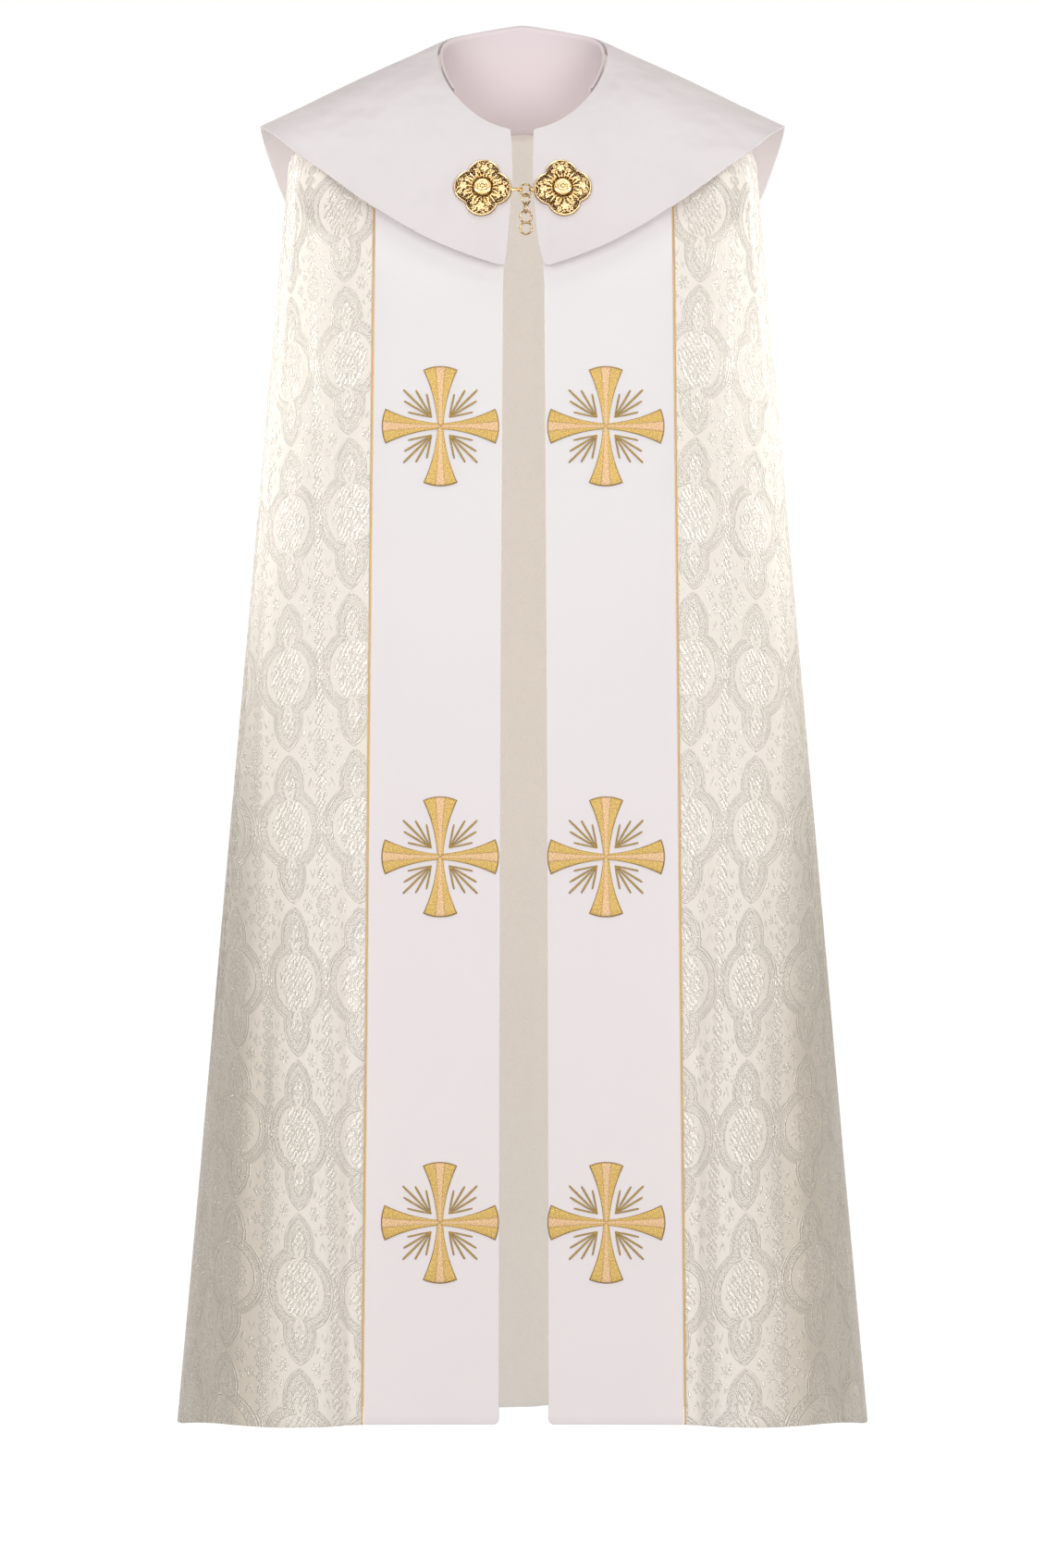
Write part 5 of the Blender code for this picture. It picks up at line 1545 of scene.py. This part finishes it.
def plate_piece(name, node, side):
    x0, z0 = PLATE_AT[side]
    s = -1.0 if side == "right" else 1.0
    best = None
    for iu in range(60, 100):
        for it in range(20, 90, 1):
            p = collar_point(s * iu / 100.0, it / 100.0)
            d = (p[0] - x0) ** 2 + (p[2] - z0) ** 2
            if best is None or d < best[0]:
                best = (d, iu / 100.0, it / 100.0)
    u, t = best[1], best[2]
    at = collar_point(s * u, t)
    dt = collar_point(s * u, t - 0.05) - collar_point(s * u, t + 0.05)
    du = collar_point(s * (u - 0.02), t) - collar_point(s * (u + 0.02), t)
    up = dt / np.linalg.norm(dt)
    across = du - up * du.dot(up)
    across /= np.linalg.norm(across)
    across *= -1 if across[0] < 0 else 1
    nrm = np.cross(across, up)
    nrm *= -1 if nrm[1] > 0 else 1
    level = np.array([1.0, 0, 0]) - nrm * nrm[0]
    across = level / np.linalg.norm(level)
    up = np.cross(nrm, across)
    up *= -1 if up[2] < 0 else 1
    lean = math.radians(PLATE_TURN[side])
    across, up = across * math.cos(lean) + up * math.sin(lean), up * math.cos(lean) - across * math.sin(lean)
    proud = max(float(np.dot(collar_point(s * (u + i * 0.012), t + j * 0.045) - at, nrm))
                for i in range(-9, 10) for j in range(-5, 6) if abs(u + i * 0.012) <= 1.0)
    base = at + nrm * (proud + 0.0005)

    n_t, n_r = 336, 110
    ang = (np.arange(n_t) + 0.5) * 2 * math.pi / n_t
    R = quat_radius(ang)
    outline = np.column_stack([R * np.cos(ang) * PLATE_W, R * np.sin(ang) * PLATE_H])
    k = np.concatenate([np.linspace(0.0, 0.30, 30), np.linspace(0.31, 1.0, n_r - 30)])
    r_out = np.hypot(outline[:, 0], outline[:, 1])
    kk = k[:, None]
    mixr = np.clip((kk - 0.34) / 0.34, 0, 1)
    mixr = mixr * mixr * (3 - 2 * mixr)
    rad = r_out[None, :] * kk * mixr + 0.0305 * kk * (1 - mixr)
    X = rad * (outline[:, 0] / r_out)[None, :]
    Y = rad * (outline[:, 1] / r_out)[None, :]
    mmx, mmy = X * 1000, Y * 1000
    r = np.hypot(mmx, mmy)
    theta = np.arctan2(mmy, mmx)
    odd = 0.0 if side == "right" else 1.7
    qx, qy = mmx / (PLATE_W / 0.060), mmy / (PLATE_H / 0.060)
    # domed body, falling to the rim
    h = np.interp(k, [0, 0.40, 0.46, 0.72, 0.90, 0.955, 1.0], [4.2, 4.2, 5.2, 4.7, 3.5, 2.6, 1.5])[:, None] * np.ones(n_t)
    field = np.clip((r - 10.6) / 1.2, 0, 1) * np.clip((0.945 - kk) / 0.03, 0, 1)
    relief = np.zeros_like(h)
    for pts, width, high in scroll_lines(odd):
        pts = np.array(pts)
        x_lo, x_hi = pts[:, 0].min() - 2, pts[:, 0].max() + 2
        y_lo, y_hi = pts[:, 1].min() - 2, pts[:, 1].max() + 2
        m = (qx > x_lo) & (qx < x_hi) & (qy > y_lo) & (qy < y_hi)
        if not m.any():
            continue
        px, py = qx[m], qy[m]
        d2 = np.full(px.shape, 1e9)
        for a, b in zip(pts[:-1], pts[1:]):
            ab = b - a
            tt2 = np.clip(((px - a[0]) * ab[0] + (py - a[1]) * ab[1]) / max(ab.dot(ab), 1e-9), 0, 1)
            ddx, ddy = px - a[0] - ab[0] * tt2, py - a[1] - ab[1] * tt2
            d2 = np.minimum(d2, ddx * ddx + ddy * ddy)
        relief[m] = np.maximum(relief[m], high * np.exp(-d2 / (2 * width ** 2)))
    # a full-blown flower in each lobe
    for q in range(4):
        fx, fy = 20.6 * math.cos(q * math.pi / 2), 20.6 * math.sin(q * math.pi / 2)
        d = np.hypot(qx - fx, qy - fy)
        phi = np.arctan2(qy - fy, qx - fx)
        size = 4.1 + 0.75 * np.cos(5 * phi + odd + q)
        dome = np.sqrt(np.clip(1 - (d / size) ** 2, 0, 1))
        folds = 1.0 - 0.30 * np.exp(-((d - 2.1) / 0.45) ** 2) - 0.22 * np.clip(np.cos(5 * phi + odd + q + 2.6), 0, 1) * (d > 1.2)
        relief = np.maximum(relief, 1.75 * dome * folds)
    # fine chasing that fills what is left
    lace = 0.92 * (np.sin(qx * 2.35 + 1.6 * np.sin(qy * 1.15 + odd) + 0.4) * np.sin(qy * 2.5 + 1.6 * np.sin(qx * 1.25 - odd) + 1.1))
    relief = np.maximum(relief, 0.16 + 0.62 * lace)
    h = h + field * (relief * 1.25 - 0.95)
    hollow = field * np.clip(1.06 - relief * 1.42, 0, 1)
    # recess round the boss
    recess = np.clip(1 - np.abs(r - 10.6) / 1.5, 0, 1)
    near_petal = np.clip(relief, 0, 1) * (r > 10.2)
    h = h - 1.3 * recess * (1 - 0.8 * near_petal)
    hollow = np.maximum(hollow, 0.98 * np.clip(recess * 1.8, 0, 1) * (1 - 0.9 * near_petal))
    # turned boss: smooth ring, spiral groove and a point
    boss_r = 9.4
    turned = 4.2 + 3.9 * np.clip(1 - (r / boss_r) ** 2, 0, 1) ** 0.40
    groove_at = 5.0 + 0.55 * np.cos(theta + 2.4)
    turned = turned - 0.80 * np.exp(-((r - groove_at) / 0.60) ** 2)
    turned = turned + 0.55 * np.exp(-((r - 7.4) / 0.9) ** 2) - 0.9 * np.exp(-((r - 2.2) / 0.7) ** 2) + 1.0 * np.exp(-(r / 1.15) ** 2)
    h = np.where(r < boss_r, turned, h)
    in_boss = np.maximum(0.55 * np.exp(-((r - groove_at) / 0.40) ** 2), 0.75 * np.exp(-((r - 2.2) / 0.45) ** 2))
    in_boss = np.maximum(in_boss, 0.8 * np.clip((r - 8.9) / 0.5, 0, 1))
    hollow = np.where(r < boss_r, in_boss, hollow)
    # two staggered rows of pierced dots inside the rim, and the plain rim
    arc_len = np.cumsum(np.hypot(*(np.roll(outline, -1, 0) - outline).T)) * 1000
    for at_row, shift, deep in ((0.895, 0.0, 0.55), (0.815, 0.5, 0.40)):
        dots = np.maximum(0, np.cos((arc_len / 2.55 + shift) * 2 * math.pi))[None, :] ** 1.5
        row = np.exp(-((kk - at_row) / 0.020) ** 2) * dots
        h = h - deep * row
        hollow = np.maximum(hollow, 0.95 * row)
    h = h + 0.95 * np.exp(-((kk - 0.972) / 0.016) ** 2)
    hollow = np.maximum(hollow, 0.80 * np.exp(-((kk - 0.937) / 0.011) ** 2))
    hollow = np.where(kk > 0.955, np.clip((kk - 0.982) / 0.018, 0, 1) * 0.75, hollow) * np.ones(n_t)
    h = np.clip(h, 0.8, 9.4) / 1000.0
    verts, faces, hol = [], [], []
    for i in range(len(k)):
        if i == 0:
            verts.append(base + nrm * float(h[0].mean()))
            hol.append(float(hollow[0].mean()))
            continue
        P = base[None, :] + X[i][:, None] * across + Y[i][:, None] * up + h[i][:, None] * nrm
        verts.extend(list(P))
        hol.extend(list(hollow[i]))
    # edge wall and flat underside
    for scale, hh in ((1.0, 0.0007), (0.97, 0.0)):
        P = base[None, :] + (outline[:, 0] * scale)[:, None] * across + (outline[:, 1] * scale)[:, None] * up + hh * nrm
        verts.extend(list(P))
        hol.extend([0.3] * n_t)
    rows_n = len(k) - 1 + 2

    def vid(i, j):
        return 0 if i == 0 else 1 + (i - 1) * n_t + j % n_t

    for j in range(n_t):
        faces.append((0, vid(1, j), vid(1, j + 1)))
    for i in range(1, rows_n):
        for j in range(n_t):
            faces.append((vid(i, j), vid(i + 1, j), vid(i + 1, j + 1), vid(i, j + 1)))
    verts.append(base)
    hol.append(0.3)
    c = len(verts) - 1
    for j in range(n_t):
        faces.append((c, vid(rows_n, j + 1), vid(rows_n, j)))
    ob = mesh_object(name, verts, faces, gilt, "garment", node, attrs={"hollow": hol})
    return ob, base, across, up, nrm


plate_r, base_r, across_r, up_r, nrm_r = plate_piece("filigree_plate_right", "clasp_plate_right", "right")
plate_l, base_l, across_l, up_l, nrm_l = plate_piece("filigree_plate_left", "clasp_plate_left", "left")


def torus(name, centre, radius, wire, turn_deg, body, node, tall=1.0):
    """Round wire ring hanging upright, turned about the vertical."""
    n, m = 72, 18
    verts, faces, hol = [], [], []
    t = math.radians(turn_deg)
    ax = np.array([math.cos(t), math.sin(t), 0.0])
    for i in range(n):
        a = 2 * math.pi * i / n
        rad = ax * math.cos(a) + np.array([0, 0, 1.0]) * math.sin(a)
        side = np.array([-math.sin(t), math.cos(t), 0.0])
        for j in range(m):
            b = 2 * math.pi * j / m
            verts.append(np.array(centre) + rad * (radius + wire * math.cos(b)) + side * (wire * math.sin(b)))
            hol.append(0.0)
    for i in range(n):
        for j in range(m):
            faces.append((i * m + j, ((i + 1) % n) * m + j, ((i + 1) % n) * m + (j + 1) % m, i * m + (j + 1) % m))
    return verts, faces


def add_torus(name, centre, radius, wire, turn, body, node):
    verts, faces = torus(name, centre, radius, wire, turn, body, node)
    ob = mesh_object(name, verts, faces, gilt_plain, body, node)
    bm = bmesh.new()
    bm.from_mesh(ob.data)
    bmesh.ops.recalc_face_normals(bm, faces=bm.faces)
    bm.to_mesh(ob.data)
    bm.free()
    return ob


rx, rz = RING_AT
add_torus("ring_wire", (rx, RING_Y, rz), RING_R, RING_WIRE, 0, "garment", "clasp_ring")
GAP = 0.0003
z_pivot1 = rz - RING_R
z1 = z_pivot1 + RING_WIRE + GAP + LINK_WIRE - LINK_R
z_pivot2 = z1 - LINK_R
z2 = z_pivot2 + LINK_WIRE + GAP + LINK_WIRE - LINK_R
z_pivot3 = z2 - LINK_R
z3 = z_pivot3 + LINK_WIRE + GAP + EIGHT_WIRE - EIGHT_R
add_torus("link_upper_wire", (rx, RING_Y, z1), LINK_R, LINK_WIRE, LINK_TURN[0], "link_upper", "chain_link_upper")
add_torus("link_lower_wire", (rx, RING_Y, z2), LINK_R, LINK_WIRE, LINK_TURN[1], "link_lower", "chain_link_lower")
v1, f1 = torus("a", (rx, RING_Y, z3), EIGHT_R, EIGHT_WIRE, 0, "", "")
v2, f2 = torus("b", (rx, RING_Y, z3 - 2 * EIGHT_R + 0.0002), EIGHT_R, EIGHT_WIRE, 0, "", "")
# solder bead where the two rings of the eight join
bead_v, bead_f = [], []
bn, bmn = 16, 12
bc = np.array([rx, RING_Y, z3 - EIGHT_R + 0.0001])
for i in range(bn + 1):
    a = math.pi * i / bn
    for j in range(bmn):
        b = 2 * math.pi * j / bmn
        bead_v.append(bc + np.array([0.0019 * math.cos(a), 0.00125 * math.sin(a) * math.cos(b),
                                     0.00125 * math.sin(a) * math.sin(b)]))
for i in range(bn):
    for j in range(bmn):
        bead_f.append((i * bmn + j, i * bmn + (j + 1) % bmn, (i + 1) * bmn + (j + 1) % bmn, (i + 1) * bmn + j))
off1, off2 = len(v1), len(v1) + len(v2)
eight = mesh_object("eight_wire", v1 + v2 + bead_v,
                    f1 + [tuple(q + off1 for q in f) for f in f2] + [tuple(q + off2 for q in f) for f in bead_f],
                    gilt_plain, "eight", "chain_eight")
bm = bmesh.new()
bm.from_mesh(eight.data)
bmesh.ops.remove_doubles(bm, verts=bm.verts, dist=1e-7)
bmesh.ops.recalc_face_normals(bm, faces=bm.faces)
bm.to_mesh(eight.data)
bm.free()


def hook_piece(name, node, side):
    """Rounded strip from the plate's edge that passes in front of the ring's wire and curls back round it."""
    base = base_r if side == "right" else base_l
    s = 1.0 if side == "right" else -1.0
    wire_x = rx - s * RING_R
    plate_edge = base[0] + s * (PLATE_W / 2 - 0.0010)
    inner_r, thick, high = RING_WIRE + 0.0010, 0.0010, 0.0036
    r = inner_r + thick / 2
    y_front = RING_Y - r
    start = plate_edge + s * 0.0010 - (0.0004 if side == "right" else 0.0)
    path = [(start + (wire_x - start) * i / 6.0, y_front) for i in range(6)] if abs(wire_x - start) > 0.0012 else \
        [(start, y_front)]
    for k in range(0, 25):
        a = -90 + (235 if side == "right" else 180) * k / 24
        path.append((wire_x + s * r * math.cos(math.radians(a)), RING_Y + r * math.sin(math.radians(a))))
    path = np.array(path)
    tan = np.gradient(path, axis=0)
    tan /= np.linalg.norm(tan, axis=1)[:, None]
    sec = []
    for q in range(16):
        a = 2 * math.pi * q / 16
        ca, sa = math.cos(a), math.sin(a)
        sec.append((math.copysign(abs(ca) ** 0.6, ca) * thick / 2, math.copysign(abs(sa) ** 0.55, sa) * high / 2))
    verts, faces = [], []
    n = len(path)
    for i, (px, py) in enumerate(path):
        nn = np.array([-tan[i][1], tan[i][0]])
        swell = 1.0
        if i < 5 and len(path) > 26:
            swell = 1.0 + 0.22 * math.sin(i / 5 * math.pi * 2.0) ** 2
        for a, b in sec:
            verts.append((px + nn[0] * a, py + nn[1] * a, rz + 0.0006 + b * swell))
    for i in range(n - 1):
        for q in range(16):
            faces.append((i * 16 + q, i * 16 + (q + 1) % 16, (i + 1) * 16 + (q + 1) % 16, (i + 1) * 16 + q))
    faces.append(tuple(range(16))[::-1])
    faces.append(tuple((n - 1) * 16 + q for q in range(16)))
    ob = mesh_object(name, verts, faces, gilt_plain, "garment", node)
    bm = bmesh.new()
    bm.from_mesh(ob.data)
    bmesh.ops.recalc_face_normals(bm, faces=bm.faces)
    bm.to_mesh(ob.data)
    bm.free()
    return ob


hook_piece("hook_strip", "clasp_hook", "right")
hook_piece("eye_strip", "clasp_eye", "left")

# ================================================================ cloth areas
a_back, a_fr, a_fl = grid_area(back), grid_area(front_r), grid_area(front_l)
a_br, a_bl, a_col, a_fac = grid_area(band_r), grid_area(band_l), grid_area(collar_p), grid_area(facing_p)
print("AREAS", *(round(float(v), 4) for v in (a_back, a_fr, a_fl, a_br, a_bl, a_col, a_fac)))
